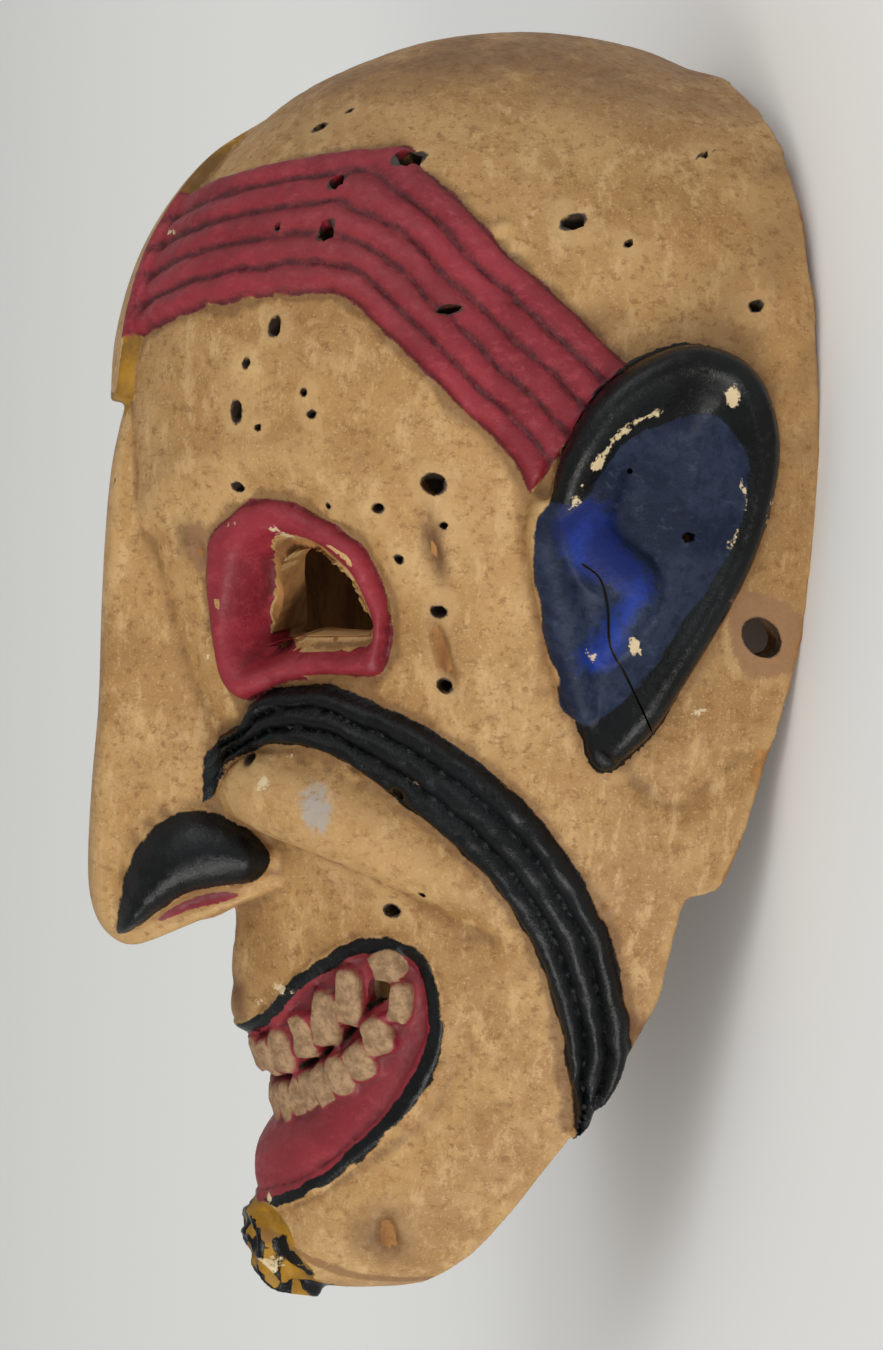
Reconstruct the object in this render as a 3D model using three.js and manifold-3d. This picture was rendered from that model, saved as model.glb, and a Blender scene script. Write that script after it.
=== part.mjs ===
// Carved wooden dance mask, hollowed from behind, lying face up on its back rim. Millimetres, +Z up.
// It is one block of wood: the shell is made first, then the carving is joined to it and the openings are cut.
// The mask is worked out with its face towards +Z, its crown towards +Y and its own left side towards +X.
import * as THREE from "three";
import { mergeVertices } from "three/addons/utils/BufferGeometryUtils.js";
import Module from "manifold-3d";

// Down the mask, crown to chin: height at the back rim, half width, depth where the side wall springs,
// height on the centre line, depth on the centre line, and roundness of the section (2 is an ellipse)
const stations = [
  [149, 0, 0, 149, 0, 2],
  [146.5, 11, 0.6, 153, 20, 2],
  [142, 25, 1.4, 154.8, 40, 2],
  [136, 38, 2.4, 153, 59, 2],
  [129, 50, 3.4, 147.5, 79, 2.02],
  [120, 62, 4, 136.5, 100, 2.05],
  [108, 71.5, 4, 120, 117.5, 2.08],
  [94, 78.5, 4, 100, 130.5, 2.1],
  [77, 83.5, 4, 78, 137, 2.08],
  [58, 86, 4.2, 58, 138.5, 2],
  [38, 86, 5.5, 38, 137, 1.9],
  [18, 84.5, 8.5, 18, 133.5, 1.8],
  [-2, 82, 12.5, -2, 129, 1.75],
  [-22, 79, 18, -22, 123.5, 1.68],
  [-40, 75.5, 24.5, -40, 118, 1.6],
  [-56, 70, 27.5, -56, 114, 1.54],
  [-72, 63.5, 29.5, -72, 114.8, 1.5],
  [-87, 57, 35.2, -87, 110, 1.5],
  [-101, 50.5, 43, -101, 104.5, 1.56],
  [-114, 43.5, 50.3, -114, 106, 1.66],
  [-126, 36, 57, -126, 108.5, 1.8],
  [-136, 27.5, 64, -137, 107.5, 1.95],
  [-143, 17, 71, -144, 101, 2],
  [-147.4, 0, 76, -147.4, 76, 2],
];
const outerColumns = 26;
const innerColumns = 8;
const wallScale = new THREE.Vector3(0.893, 0.937, 0.902); // inner skin against the outer one

// The back rim: flat behind the crown, curving forward beside the ears, with a step behind the jaw
const rimFlatAbove = 48;
const rimCurve = 0.00205;
const notchHeight = -47;
const notchFade = 2.5;

// Lying at rest: both sides of the rim touch where it bulges back, each with a flat worn on it
const restTilt = THREE.MathUtils.degToRad(3.7);
const flatDepth = 1.2;
const floorSize = 600; // side of the block that cuts the flats

// The carving's places are girth (round the skin from the centre line) and height
const browBand = {
  top: [[8, 111], [36, 114.5], [64, 116.5], [73, 111.5], [103, 92], [136, 65.5]],
  foot: [[8, 78.5], [38, 82], [64, 83], [73, 81], [92, 66.7], [114.5, 39]],
  ribs: 5,
  height: 2.6,
  groove: 0.9,
  sunk: 2,
  steps: 8,
};
const cheekBand = {
  top: [[17, -15], [38, -4.5], [57, -3.5], [79, -13], [95, -29], [102, -52], [103.5, -75], [83, -104]],
  foot: [[16, -25], [33, -16.5], [50, -17.5], [69, -32], [81, -47], [87, -65], [88, -79], [81.5, -103]],
  ribs: 3,
  height: 3.4,
  groove: 1,
  sunk: 2,
  steps: 12,
};
const eye = {
  centre: [52, 17],
  rim: [[31, 16], [31, 4], [36, -0.5], [50, 2.5], [66, 3], [71.5, 7], [72, 17], [68, 26], [60, 32], [48, 33], [37, 27]],
  opening: [[37, 6], [40, 13], [46, 21], [51, 25], [57, 26.3], [63, 23.3], [67, 18.5], [68.6, 8.6], [52, 7.6]],
  rimWidth: 9.5,
  rimHeight: 4.2,
  steps: 14,
  cutLength: 60,
};
const socket = { centre: [50, 16], reach: [34, 30], depth: 6.5 };
const nose = {
  // heights and depths of the ridge from the forehead over the hooked tip to the lip
  ridge: [
    [74, 136], [58, 140.6], [44, 143], [20, 144.6], [-6, 145.4], [-24, 146.9], [-40, 147.8], [-50, 147.6],
    [-57, 145.8], [-61.2, 142.6], [-63, 138.6], [-61.6, 133.6], [-58.6, 127], [-57, 119],
  ],
  root: [[74, 110], [-46, 102]],
  ridgeHalf: [7, 9.5],
  rootHalf: [16, 23],
  crest: 5.5,
  edge: { share: 0.62, drop: 0.8 }, // the rounded edge of the ridge: its share of the crest width and its drop
  fallEnd: 0.6, // the share along the ridge where it has its full width
  steps: 17,
};
const wing = { centre: [12.5, -44, 123], radii: [10, 14, 18.5], around: 10, down: 6 };
const cheekRoll = {
  path: [[24, -27], [34, -28], [48, -32.5], [64, -42], [80, -57]],
  width: [20, 22, 21, 18, 10],
  height: [7.5, 8.5, 8, 5, 0.5],
  sunk: 3,
  steps: 7,
};
const mouth = {
  upper: [[0, -82.5], [12, -79], [20, -73.5], [30, -66], [40, -61], [50, -59], [58, -62], [62, -69]],
  lower: [[62, -69], [61.5, -77], [56.5, -86.5], [48, -96], [39, -104.5], [29, -114], [19, -121], [8, -125], [0, -125.8]],
  lipWidth: 5,
  lipHeight: 3,
  lowerLip: [[0, -114], [16, -111], [30, -101.5], [44, -90], [55, -77]],
  lowerLipWidth: 19,
  lowerLipHeight: 4.4,
  upperSteps: 7,
  lowerSteps: 7,
  lowerLipSteps: 6,
};
const teeth = {
  upper: [[3.4, -90.2], [11, -88.6], [18.8, -85.6], [26.6, -81.2], [34.4, -76], [42, -70.6], [50, -65.4]],
  lower: [[3.6, -102.6], [11.5, -101.3], [19, -98.8], [26.6, -94.6], [34.2, -89.6], [42, -83], [49.6, -75.6]],
  upperSize: [6, 11, 3.6],
  lowerSize: [6.6, 8.6, 3.4],
  upperLean: 0.05,
  lowerLean: 0.25,
  topShare: 0.62,
  footShare: 0.8,
};
const mouthCorner = { centre: [46.5, -71.8], radii: [3.4, 3.6], corners: 8, cutLength: 30 };
const ear = {
  outline: [
    [150, 70], [139, 66.5], [131, 59], [125, 50], [119, 38], [116, 14], [112.5, -9], [111.5, -18], [114, -20.5],
    [119, -17.5], [132, -5], [148, 15], [157, 25], [164, 37], [167, 49], [165, 60], [159, 67],
  ],
  plate: 4,
  sunk: 4,
  helixSteps: 14,
  foldSteps: 6,
  helix: [
    [121, 37], [125.5, 45.5], [133, 55.5], [142, 62], [151, 64.4], [159.5, 60.5], [162.5, 50], [159.5, 38],
    [153.5, 26.5], [145, 15], [134, 2], [124, -9], [114.5, -17],
  ],
  helixWidth: [7, 9, 10, 10.5, 10.5, 10.5, 10, 9.5, 9, 9, 9, 9, 6],
  helixHeight: [6, 8.5, 10, 11, 11, 10.5, 10, 9.5, 9, 9, 9, 8, 5],
  fold: [[130, 42], [124.5, 33], [122, 27], [129, 21.5], [130, 17], [125, 9.5], [118.5, 3.5]],
  foldWidth: 8,
  foldHeight: 7,
};
const ornament = {
  path: [[0, 131], [0, 120], [0, 108], [0, 93], [0, 79], [0, 64.5]],
  width: [1, 11, 16.5, 19, 18.5, 15],
  height: [0.4, 3, 3.6, 3.8, 3.8, 3.6],
  steps: 9,
};
const tuft = {
  lumps: [[0, -128.5, 4.8], [7.5, -131, 4.6], [2.5, -135.5, 4.8], [8.5, -138.5, 4.4]],
  lift: -0.6,
  around: 5,
  down: 4,
};
const strapHole = { centre: [156, 8], radius: 4.3, length: 30 };
const cutterAbove = 1 / 3; // how far a cutter stands out of the skin, as a share of its length

const wood = new THREE.MeshStandardMaterial({ color: 0xb08d62, roughness: 0.62, metalness: 0 });

const wasm = await Module();
wasm.setup();

// A value between the rows of a table, at a share 0 to 1 of its length, on a smooth curve
function along(table, share) {
  const last = table.length - 1;
  const place = THREE.MathUtils.clamp(share, 0, 1) * last;
  const i = Math.min(Math.floor(place), last - 1);
  const f = place - i;
  const [before, from, to, after] = [i - 1, i, i + 1, i + 2].map((k) => table[THREE.MathUtils.clamp(k, 0, last)]);
  return from.map(
    (v, k) =>
      v +
      0.5 *
        f *
        (to[k] -
          before[k] +
          f * (2 * before[k] - 5 * v + 4 * to[k] - after[k] + f * (3 * (v - to[k]) + after[k] - before[k]))),
  );
}

// Single numbers spread along a share in the same way
function spread(values, share) {
  return Array.isArray(values) ? along(values.map((v) => [v]), share)[0] : values;
}

// The plain skin at a share down the mask and an angle round the section from the centre line
function skinPoint(share, angle) {
  const [rimY, half, springZ, midY, midZ, power] = along(stations, share);
  if (half <= 0) return new THREE.Vector3(0, midY, springZ);
  const depth = Math.max(midZ - springZ, 1e-3);
  const sin = Math.sin(angle);
  const cos = Math.max(Math.cos(angle), 0);
  const reach = (Math.abs(sin / half) ** power + (cos / depth) ** power) ** (-1 / power);
  return new THREE.Vector3(reach * sin, rimY + (midY - rimY) * cos * cos, springZ + reach * cos);
}

function girthAt(share, angle) {
  const steps = 48;
  let sum = 0;
  let last = skinPoint(share, 0);
  for (let i = 1; i <= steps; i++) {
    const next = skinPoint(share, (angle * i) / steps);
    sum += next.distanceTo(last);
    last = next;
  }
  return sum;
}

// The share and the angle where the skin has a given girth and height
function findPlace(girth, height) {
  let angle = 0;
  let share = 0.5;
  const end = Math.PI / 2;
  for (let turn = 0; turn < 4; turn++) {
    let [low, high] = [0, 1];
    for (let i = 0; i < 22; i++) {
      share = (low + high) / 2;
      if (skinPoint(share, angle).y > height) low = share;
      else high = share;
    }
    let [near, far] = [0, end];
    for (let i = 0; i < 16; i++) {
      angle = (near + far) / 2;
      if (girthAt(share, angle) < girth) near = angle;
      else far = angle;
    }
  }
  return { share, angle };
}

// A smooth dome, 1 at its centre and 0 past its reach
function dome(across, down) {
  const far = across * across + down * down;
  return far >= 1 ? 0 : (1 - far) ** 2;
}

// How far the broad carving lifts or sinks the skin
function broadRelief(girth, height) {
  const across = (girth - socket.centre[0]) / socket.reach[0];
  const down = (height - socket.centre[1]) / socket.reach[1];
  return -socket.depth * dome(across, down);
}

// The outward direction of the skin
function skinNormal(share, angle) {
  const small = 1e-3;
  const at = THREE.MathUtils.clamp(share, 2 * small, 1 - 2 * small);
  const round = skinPoint(at, angle + small).sub(skinPoint(at, angle - small));
  const down = skinPoint(at + small, angle).sub(skinPoint(at - small, angle));
  return down.cross(round).normalize();
}

// A place on the carved skin: its point and its outward direction
function place(girth, height, side = 1) {
  const { share, angle } = findPlace(Math.abs(girth), height);
  const turn = side * Math.sign(girth || 1);
  const normal = skinNormal(share, angle);
  const point = skinPoint(share, angle).addScaledVector(normal, broadRelief(Math.abs(girth), height));
  point.x *= turn;
  normal.x *= turn;
  return { point, normal };
}

function geometryOf(points, faces) {
  const geometry = new THREE.BufferGeometry();
  geometry.setAttribute("position", new THREE.Float32BufferAttribute(points.flatMap((p) => p.toArray()), 3));
  geometry.setIndex(faces.flat());
  return geometry;
}

// A solid from a closed geometry, turned the right way out
function solid(geometry) {
  const bare = geometry.clone();
  bare.deleteAttribute("normal");
  bare.deleteAttribute("uv");
  const merged = mergeVertices(bare, 1e-4);
  const index = Array.from(merged.index.array);
  const kept = [];
  for (let i = 0; i < index.length; i += 3) {
    const [a, b, c] = index.slice(i, i + 3);
    if (a !== b && b !== c && c !== a) kept.push(a, b, c);
  }
  const make = (triangles) =>
    new wasm.Manifold(
      new wasm.Mesh({
        numProp: 3,
        vertProperties: new Float32Array(merged.attributes.position.array),
        triVerts: new Uint32Array(triangles),
      }),
    );
  const made = make(kept);
  if (made.volume() > 0) return made;
  const turned = [];
  for (let i = 0; i < kept.length; i += 3) turned.push(kept[i], kept[i + 2], kept[i + 1]);
  return make(turned);
}

// The surface of a solid as a geometry
function surfaceOf(body) {
  const mesh = body.getMesh();
  const geometry = new THREE.BufferGeometry();
  geometry.setAttribute("position", new THREE.BufferAttribute(new Float32Array(mesh.vertProperties), 3));
  geometry.setIndex(new THREE.BufferAttribute(new Uint32Array(mesh.triVerts), 1));
  return geometry;
}

// A closed body through rings of points, all with the same count, capped at both ends unless it joins up
function loft(rings, joined = false) {
  const count = rings[0].length;
  const points = rings.flat();
  const faces = [];
  const spans = joined ? rings.length : rings.length - 1;
  for (let r = 0; r < spans; r++) {
    const next = (r + 1) % rings.length;
    for (let i = 0; i < count; i++) {
      const j = (i + 1) % count;
      faces.push([r * count + i, next * count + i, next * count + j], [r * count + i, next * count + j, r * count + j]);
    }
  }
  if (!joined) {
    for (const [r, flip] of [[0, false], [rings.length - 1, true]]) {
      points.push(rings[r].reduce((sum, p) => sum.add(p), new THREE.Vector3()).divideScalar(count));
      for (let i = 0; i < count; i++) {
        const edge = [r * count + i, r * count + ((i + 1) % count)];
        faces.push([points.length - 1, ...(flip ? edge.reverse() : edge)]);
      }
    }
  }
  return solid(geometryOf(points, faces));
}

const roundProfile = [[-1, 0], [-0.7, 0.72], [0, 1], [0.7, 0.72], [1, 0]];
const ribProfile = [[-1, 0], [0, 1], [1, 0]];
// the sunk side of a ridge is a little narrower than its top
const underShare = 0.8;
const flatProfile = [[-1, 0], [-0.97, 1], [0.97, 1], [1, 0]];

// A rounded ridge that runs along a path on the skin, its underside sunk into the wood
function ridge({ path, width, height, steps, sunk = 2.5, joined = false, side = 1, profile = roundProfile }) {
  const spots = [];
  const count = joined ? steps : steps + 1;
  const loop = joined ? [path.at(-1), ...path, path[0], path[1]] : path;
  for (let i = 0; i < count; i++) {
    const share = joined ? (1 + (i / steps) * path.length) / (path.length + 2) : i / steps;
    const [girth, level] = along(loop, share);
    spots.push({ ...place(girth, level, side), share: i / steps });
  }
  const rings = spots.map(({ point, normal, share }, i) => {
    const before = spots[joined ? (i + count - 1) % count : Math.max(i - 1, 0)].point;
    const after = spots[joined ? (i + 1) % count : Math.min(i + 1, count - 1)].point;
    const across = after.clone().sub(before).cross(normal).normalize();
    const half = spread(width, share) / 2;
    const rise = spread(height, share);
    const ring = profile.map(([a, h]) =>
      point.clone().addScaledVector(across, a * half).addScaledVector(normal, h * rise),
    );
    const under = [1, -1].map((a) =>
      point.clone().addScaledVector(across, a * half * underShare).addScaledVector(normal, -sunk),
    );
    return [...ring, ...under];
  });
  return loft(rings, joined);
}

// A band of parallel ribs between a top and a foot edge, with a groove between each two
function ribbedBand({ top, foot, ribs, height, groove, sunk, steps }, side) {
  const rings = [];
  for (let i = 0; i <= steps; i++) {
    const [from, to] = [along(top, i / steps), along(foot, i / steps)];
    const spot = (part) =>
      place(THREE.MathUtils.lerp(from[0], to[0], part), THREE.MathUtils.lerp(from[1], to[1], part), side);
    const raise = (part, lift) => {
      const { point, normal } = spot(part);
      return point.addScaledVector(normal, lift);
    };
    const ring = [raise(0, 0)];
    for (let k = 0; k < ribs; k++) {
      ring.push(raise((k + 0.5) / ribs, height));
      ring.push(raise((k + 1) / ribs, k < ribs - 1 ? groove : 0));
    }
    ring.push(raise(1, -sunk), raise(0, -sunk));
    rings.push(ring);
  }
  return loft(rings);
}

// A flat-topped body that stands on an outline drawn on the skin
function raised(outline, height, sunk, side = 1) {
  const rings = [-sunk, height].map((lift) =>
    outline.map(([girth, level]) => {
      const { point, normal } = place(girth, level, side);
      return point.addScaledVector(normal, lift);
    }),
  );
  return loft(rings);
}

// A straight cutter through the wall, from an outline drawn on the skin
function cutter(outline, centre, length, side) {
  const { normal } = place(...centre, side);
  const rings = [-length, length * cutterAbove].map((reach) =>
    outline.map(([girth, level]) => place(girth, level, side).point.addScaledVector(normal, reach)),
  );
  return loft(rings);
}

function ellipsoid([x, y, z], [rx, ry, rz]) {
  return solid(new THREE.SphereGeometry(1, wing.around, wing.down).scale(rx, ry, rz).translate(x, y, z));
}

// A round or oval outline round a place on the skin
function oval([girth, level], [across, down], count = 12) {
  return Array.from({ length: count }, (_, i) => {
    const turn = (i / count) * 2 * Math.PI;
    return [girth + across * Math.cos(turn), level + down * Math.sin(turn)];
  });
}

// How deep the back rim lies at a height
function rimDepth(height, springZ) {
  const below = Math.max(rimFlatAbove - height, 0);
  const curved = rimCurve * below * below;
  const step = THREE.MathUtils.smoothstep(notchHeight - height, 0, notchFade);
  return Math.min(THREE.MathUtils.lerp(curved, springZ, step), springZ);
}

// The hollow shell: outer skin with its broad relief, inner skin, and the rim between them
function shell() {
  const heights = [];
  const rows = stations.length - 1;
  for (let r = 0; r <= rows; r++) heights.push(r / rows);
  for (const edge of [notchHeight, notchHeight - notchFade]) {
    heights.push(findPlace(1e3, edge).share);
  }
  heights.sort((a, b) => a - b);
  const skin = (columns, relief, scale) =>
    heights.map((share) => {
      const row = [];
      for (let c = 0; c <= columns; c++) {
        const angle = (c / columns - 0.5) * Math.PI;
        const point = skinPoint(share, angle);
        if (relief && share > 0 && share < 1) {
          const lift = broadRelief(girthAt(share, Math.abs(angle)), point.y);
          if (lift) point.addScaledVector(skinNormal(share, angle), lift);
        }
        row.push(point.multiply(scale));
      }
      const [rimY, half, springZ] = along(stations, share);
      const back = rimDepth(rimY, springZ) * scale.z;
      const edge = (x) => new THREE.Vector3(x * scale.x, rimY * scale.y, back);
      return [edge(-half), ...row, edge(half)];
    });
  const outer = skin(outerColumns, true, new THREE.Vector3(1, 1, 1));
  const inner = skin(innerColumns, false, wallScale);
  const points = [...outer.flat(), ...inner.flat()];
  const start = outer.length * outer[0].length;
  const faces = [];
  const sheet = (base, columns, flip) => {
    for (let r = 0; r < heights.length - 1; r++) {
      for (let c = 0; c < columns - 1; c++) {
        const a = base + r * columns + c;
        const quad = [[a, a + columns, a + columns + 1], [a, a + columns + 1, a + 1]];
        faces.push(...(flip ? quad.map((f) => f.reverse()) : quad));
      }
    }
  };
  const wide = outer[0].length;
  const slim = inner[0].length;
  sheet(0, wide, false);
  sheet(start, slim, true);
  for (let r = 0; r < heights.length - 1; r++) {
    const [a, b] = [r * wide, (r + 1) * wide];
    const [c, d] = [start + r * slim, start + (r + 1) * slim];
    faces.push([a, c, b], [b, c, d]);
    const [e, f] = [a + wide - 1, b + wide - 1];
    const [g, h] = [c + slim - 1, d + slim - 1];
    faces.push([e, f, g], [f, h, g]);
  }
  return solid(geometryOf(points, faces));
}

// The nose: sections that stand across the ridge, fanning round the hooked tip
function noseBody() {
  const rings = [];
  for (let i = 0; i <= nose.steps; i++) {
    const share = i / nose.steps;
    const [y, z] = along(nose.ridge, share);
    const fall = THREE.MathUtils.smoothstep(share, 0, nose.fallEnd);
    const [rootY, rootZ] = [Math.max(y, nose.root[1][0]), THREE.MathUtils.lerp(nose.root[0][1], nose.root[1][1], fall)];
    const crestHalf = THREE.MathUtils.lerp(nose.ridgeHalf[0], nose.ridgeHalf[1], fall);
    const rootHalf = THREE.MathUtils.lerp(nose.rootHalf[0], nose.rootHalf[1], fall);
    const top = new THREE.Vector3(0, y, z);
    const root = new THREE.Vector3(0, rootY, rootZ);
    const inward = root.clone().sub(top).normalize();
    const shoulder = top.clone().addScaledVector(inward, nose.crest);
    const spot = (from, x) => from.clone().add(new THREE.Vector3(x, 0, 0));
    const upper = top.clone().addScaledVector(inward, nose.edge.drop);
    rings.push([
      spot(top, 0),
      spot(upper, crestHalf * nose.edge.share),
      spot(shoulder, crestHalf),
      spot(root, rootHalf),
      spot(root, -rootHalf),
      spot(shoulder, -crestHalf),
      spot(upper, -crestHalf * nose.edge.share),
    ]);
  }
  return loft(rings);
}

function tooth([girth, level], [width, tall, thick], lean, side) {
  const { point, normal } = place(girth, level, side);
  const shape = new THREE.CylinderGeometry(teeth.topShare, teeth.footShare, 1, 4).rotateY(Math.PI / 4).rotateX(Math.PI / 2);
  shape.scale(width, tall, 2 * thick);
  const down = new THREE.Vector3(0, 1, 0).addScaledVector(normal, -normal.y).normalize();
  const turn = new THREE.Matrix4().makeBasis(down.clone().cross(normal), down, normal);
  shape.applyMatrix4(new THREE.Matrix4().makeRotationZ(lean * side * Math.sign(girth || 1)));
  return solid(shape.applyMatrix4(turn.setPosition(point)));
}

function earParts(side) {
  return [
    raised(ear.outline, ear.plate, ear.sunk, side),
    ridge({ path: ear.helix, width: ear.helixWidth, height: ear.helixHeight, sunk: 3, steps: ear.helixSteps, side }),
    ridge({ path: ear.fold, width: ear.foldWidth, height: ear.foldHeight, sunk: 2, steps: ear.foldSteps, side }),
  ];
}

function mouthParts(side) {
  const lip = { width: mouth.lipWidth, height: mouth.lipHeight, side, profile: ribProfile };
  return [
    ridge({ ...lip, path: mouth.upper, steps: mouth.upperSteps }),
    ridge({ ...lip, path: mouth.lower, steps: mouth.lowerSteps }),
    ridge({ path: mouth.lowerLip, width: mouth.lowerLipWidth, height: mouth.lowerLipHeight, steps: mouth.lowerLipSteps, side }),
    ...teeth.upper.map((spot) => tooth(spot, teeth.upperSize, teeth.upperLean, side)),
    ...teeth.lower.map((spot) => tooth(spot, teeth.lowerSize, teeth.lowerLean, side)),
  ];
}

function tuftParts() {
  return tuft.lumps.flatMap(([girth, level, size]) =>
    (girth ? [1, -1] : [1]).map((side) => {
      const { point, normal } = place(girth, level, side);
      const at = point.addScaledVector(normal, tuft.lift);
      return solid(new THREE.SphereGeometry(size, tuft.around, tuft.down).translate(at.x, at.y, at.z));
    }),
  );
}

function carve() {
  let body = shell();
  const joined = [noseBody(), ridge({ ...ornament, profile: flatProfile }), ...tuftParts()];
  const cut = [];
  for (const side of [1, -1]) {
    joined.push(
      ribbedBand(browBand, side),
      ribbedBand(cheekBand, side),
      ridge({ ...cheekRoll, side }),
      ridge({ path: eye.rim, width: eye.rimWidth, height: eye.rimHeight, steps: eye.steps, joined: true, side }),
      ellipsoid([wing.centre[0] * side, wing.centre[1], wing.centre[2]], wing.radii),
      ...earParts(side),
      ...mouthParts(side),
    );
    cut.push(
      cutter(eye.opening, eye.centre, eye.cutLength, side),
      cutter(oval(mouthCorner.centre, mouthCorner.radii, mouthCorner.corners), mouthCorner.centre, mouthCorner.cutLength, side),
      cutter(oval(strapHole.centre, [strapHole.radius, strapHole.radius]), strapHole.centre, strapHole.length, side),
    );
  }
  body = wasm.Manifold.union([body, ...joined]);
  return wasm.Manifold.difference([body, ...cut]);
}

// Pockets closed in between two carvings are wood, so only the outer surface is kept
function withoutPockets(body) {
  return body.decompose().reduce((most, part) => (part.volume() > most.volume() ? part : most));
}

// The mask as it lies: tilted onto its rim and jaw corners, the touching spots cut flat, the origin below its middle
function laid(body) {
  const geometry = surfaceOf(body).rotateX(restTilt);
  geometry.computeBoundingBox();
  const low = geometry.boundingBox.min.z + flatDepth;
  const floor = new THREE.BoxGeometry(floorSize, floorSize, floorSize).translate(0, 0, low - floorSize / 2);
  const rested = solid(geometry).subtract(solid(floor));
  return { rested: withoutPockets(rested), low };
}

const { rested, low } = laid(carve());
const geometry = surfaceOf(rested);
geometry.computeBoundingBox();
const middle = geometry.boundingBox.getCenter(new THREE.Vector3());
geometry.translate(0, -middle.y, -low);
geometry.computeVertexNormals();

const maskMesh = new THREE.Mesh(geometry, wood);
maskMesh.name = "mask";
const root = new THREE.Group();
root.add(maskMesh);

export default root;
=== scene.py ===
import math
import bpy
import numpy as np
from mathutils import Matrix, Vector
from mathutils.kdtree import KDTree


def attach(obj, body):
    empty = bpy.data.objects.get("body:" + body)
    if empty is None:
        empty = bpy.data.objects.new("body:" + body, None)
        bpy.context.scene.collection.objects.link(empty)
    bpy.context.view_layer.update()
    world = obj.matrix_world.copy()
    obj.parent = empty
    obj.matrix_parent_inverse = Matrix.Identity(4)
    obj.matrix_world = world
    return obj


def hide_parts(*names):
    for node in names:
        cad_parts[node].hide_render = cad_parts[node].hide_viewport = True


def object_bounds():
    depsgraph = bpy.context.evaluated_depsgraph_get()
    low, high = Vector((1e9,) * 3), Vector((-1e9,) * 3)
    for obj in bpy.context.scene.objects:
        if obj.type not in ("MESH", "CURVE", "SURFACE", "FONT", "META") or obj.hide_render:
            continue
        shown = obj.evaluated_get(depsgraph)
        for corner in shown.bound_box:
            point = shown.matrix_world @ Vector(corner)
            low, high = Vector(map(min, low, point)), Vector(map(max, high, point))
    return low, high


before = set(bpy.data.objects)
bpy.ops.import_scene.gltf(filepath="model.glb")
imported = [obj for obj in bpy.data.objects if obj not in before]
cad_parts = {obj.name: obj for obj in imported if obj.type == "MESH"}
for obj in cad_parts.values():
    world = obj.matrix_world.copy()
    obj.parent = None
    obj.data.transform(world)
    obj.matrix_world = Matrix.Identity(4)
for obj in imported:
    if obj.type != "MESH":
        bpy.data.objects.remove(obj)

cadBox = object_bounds()
mm = 0.001

# The mask is worked out in millimetres, face towards +Z, crown towards +Y, its own left side towards +X.
# Carving is placed by girth (round the skin from the centre line) and height, then the whole is laid down.
form = {
    # height at the back rim, half width, depth where the side springs,
    # height and depth on the centre line, roundness
    "stations": [
        (149, 0, 0, 149, 0, 2), (146.5, 11, 0.6, 153, 20, 2), (142, 25, 1.4, 154.8, 40, 2),
        (136, 38, 2.4, 153, 59, 2), (129, 50, 3.4, 147.5, 79, 2.02), (120, 62, 4, 136.5, 100, 2.05),
        (108, 71.5, 4, 120, 117.5, 2.08), (94, 78.5, 4, 100, 130.5, 2.1), (77, 83.5, 4, 78, 137, 2.08),
        (58, 86, 4.2, 58, 138.5, 2), (38, 86, 5.5, 38, 137, 1.9), (18, 84.5, 8.5, 18, 133.5, 1.8),
        (-2, 82, 12.5, -2, 129, 1.75), (-22, 79, 18, -22, 123.5, 1.68), (-40, 75.5, 24.5, -40, 118, 1.6),
        (-56, 70, 27.5, -56, 114, 1.54), (-72, 63.5, 29.5, -72, 114.8, 1.5), (-87, 57, 35.2, -87, 110, 1.5),
        (-101, 50.5, 43, -101, 104.5, 1.56), (-114, 43.5, 50.3, -114, 106, 1.66),
        (-126, 36, 57, -126, 108.5, 1.8), (-136, 27.5, 64, -137, 107.5, 1.95), (-143, 17, 71, -144, 101, 2),
        (-147.4, 0, 76, -147.4, 76, 2)],
    "rimFlatAbove": 48, "rimCurve": 0.00205, "notchHeight": -47, "notchFade": 2.5,
    "innerScale": (0.893, 0.937, 0.902),
    # leaned back to lie on the rim: degrees, then millimetres along and down
    "restTilt": 3.7,
    "restShift": (0.0506, -3.6823),
    # more wood behind the nose and the eye corners: half width, middle height, half height, extra depth
    "thickBehind": (58, 14, 46, 19), "thickAbove": 60, "innerColumns": 41,
}

detail = {"grid": (230, 230), "voxel": 0.8, "rounds": 4, "triangles": 176000}


def smoothStep(low, high, value):
    part = np.clip((value - low) / (high - low), 0, 1)
    return part * part * (3 - 2 * part)


def along(table, share):
    # a smooth curve through the rows of a table, at a share 0 to 1 of its length
    table = np.asarray(table, float)
    if table.ndim == 1:
        table = table[:, None]
    last = len(table) - 1
    place = np.clip(np.asarray(share, float), 0, 1) * last
    i = np.minimum(place.astype(int), last - 1)
    f = (place - i)[..., None]
    before, start = table[np.maximum(i - 1, 0)], table[i]
    end, after = table[i + 1], table[np.minimum(i + 2, last)]
    bend = 2 * before - 5 * start + 4 * end - after + f * (3 * (start - end) + after - before)
    return start + 0.5 * f * (end - before + f * bend)


def skinGrid(shares, angles):
    # points of the plain skin: one row for each share down the mask, one column for each angle
    rimY, half, springZ, midY, midZ, power = [c[:, None] for c in along(form["stations"], shares).T]
    half = np.maximum(half, 1e-6)
    depth = np.maximum(midZ - springZ, 1e-6)
    sin, cos = np.sin(angles)[None, :], np.maximum(np.cos(angles), 0)[None, :]
    reach = (np.abs(sin / half) ** power + (cos / depth) ** power) ** (-1 / power)
    y = rimY + (midY - rimY) * cos ** 2
    return np.stack([reach * sin, y, springZ + reach * cos], -1)


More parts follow.
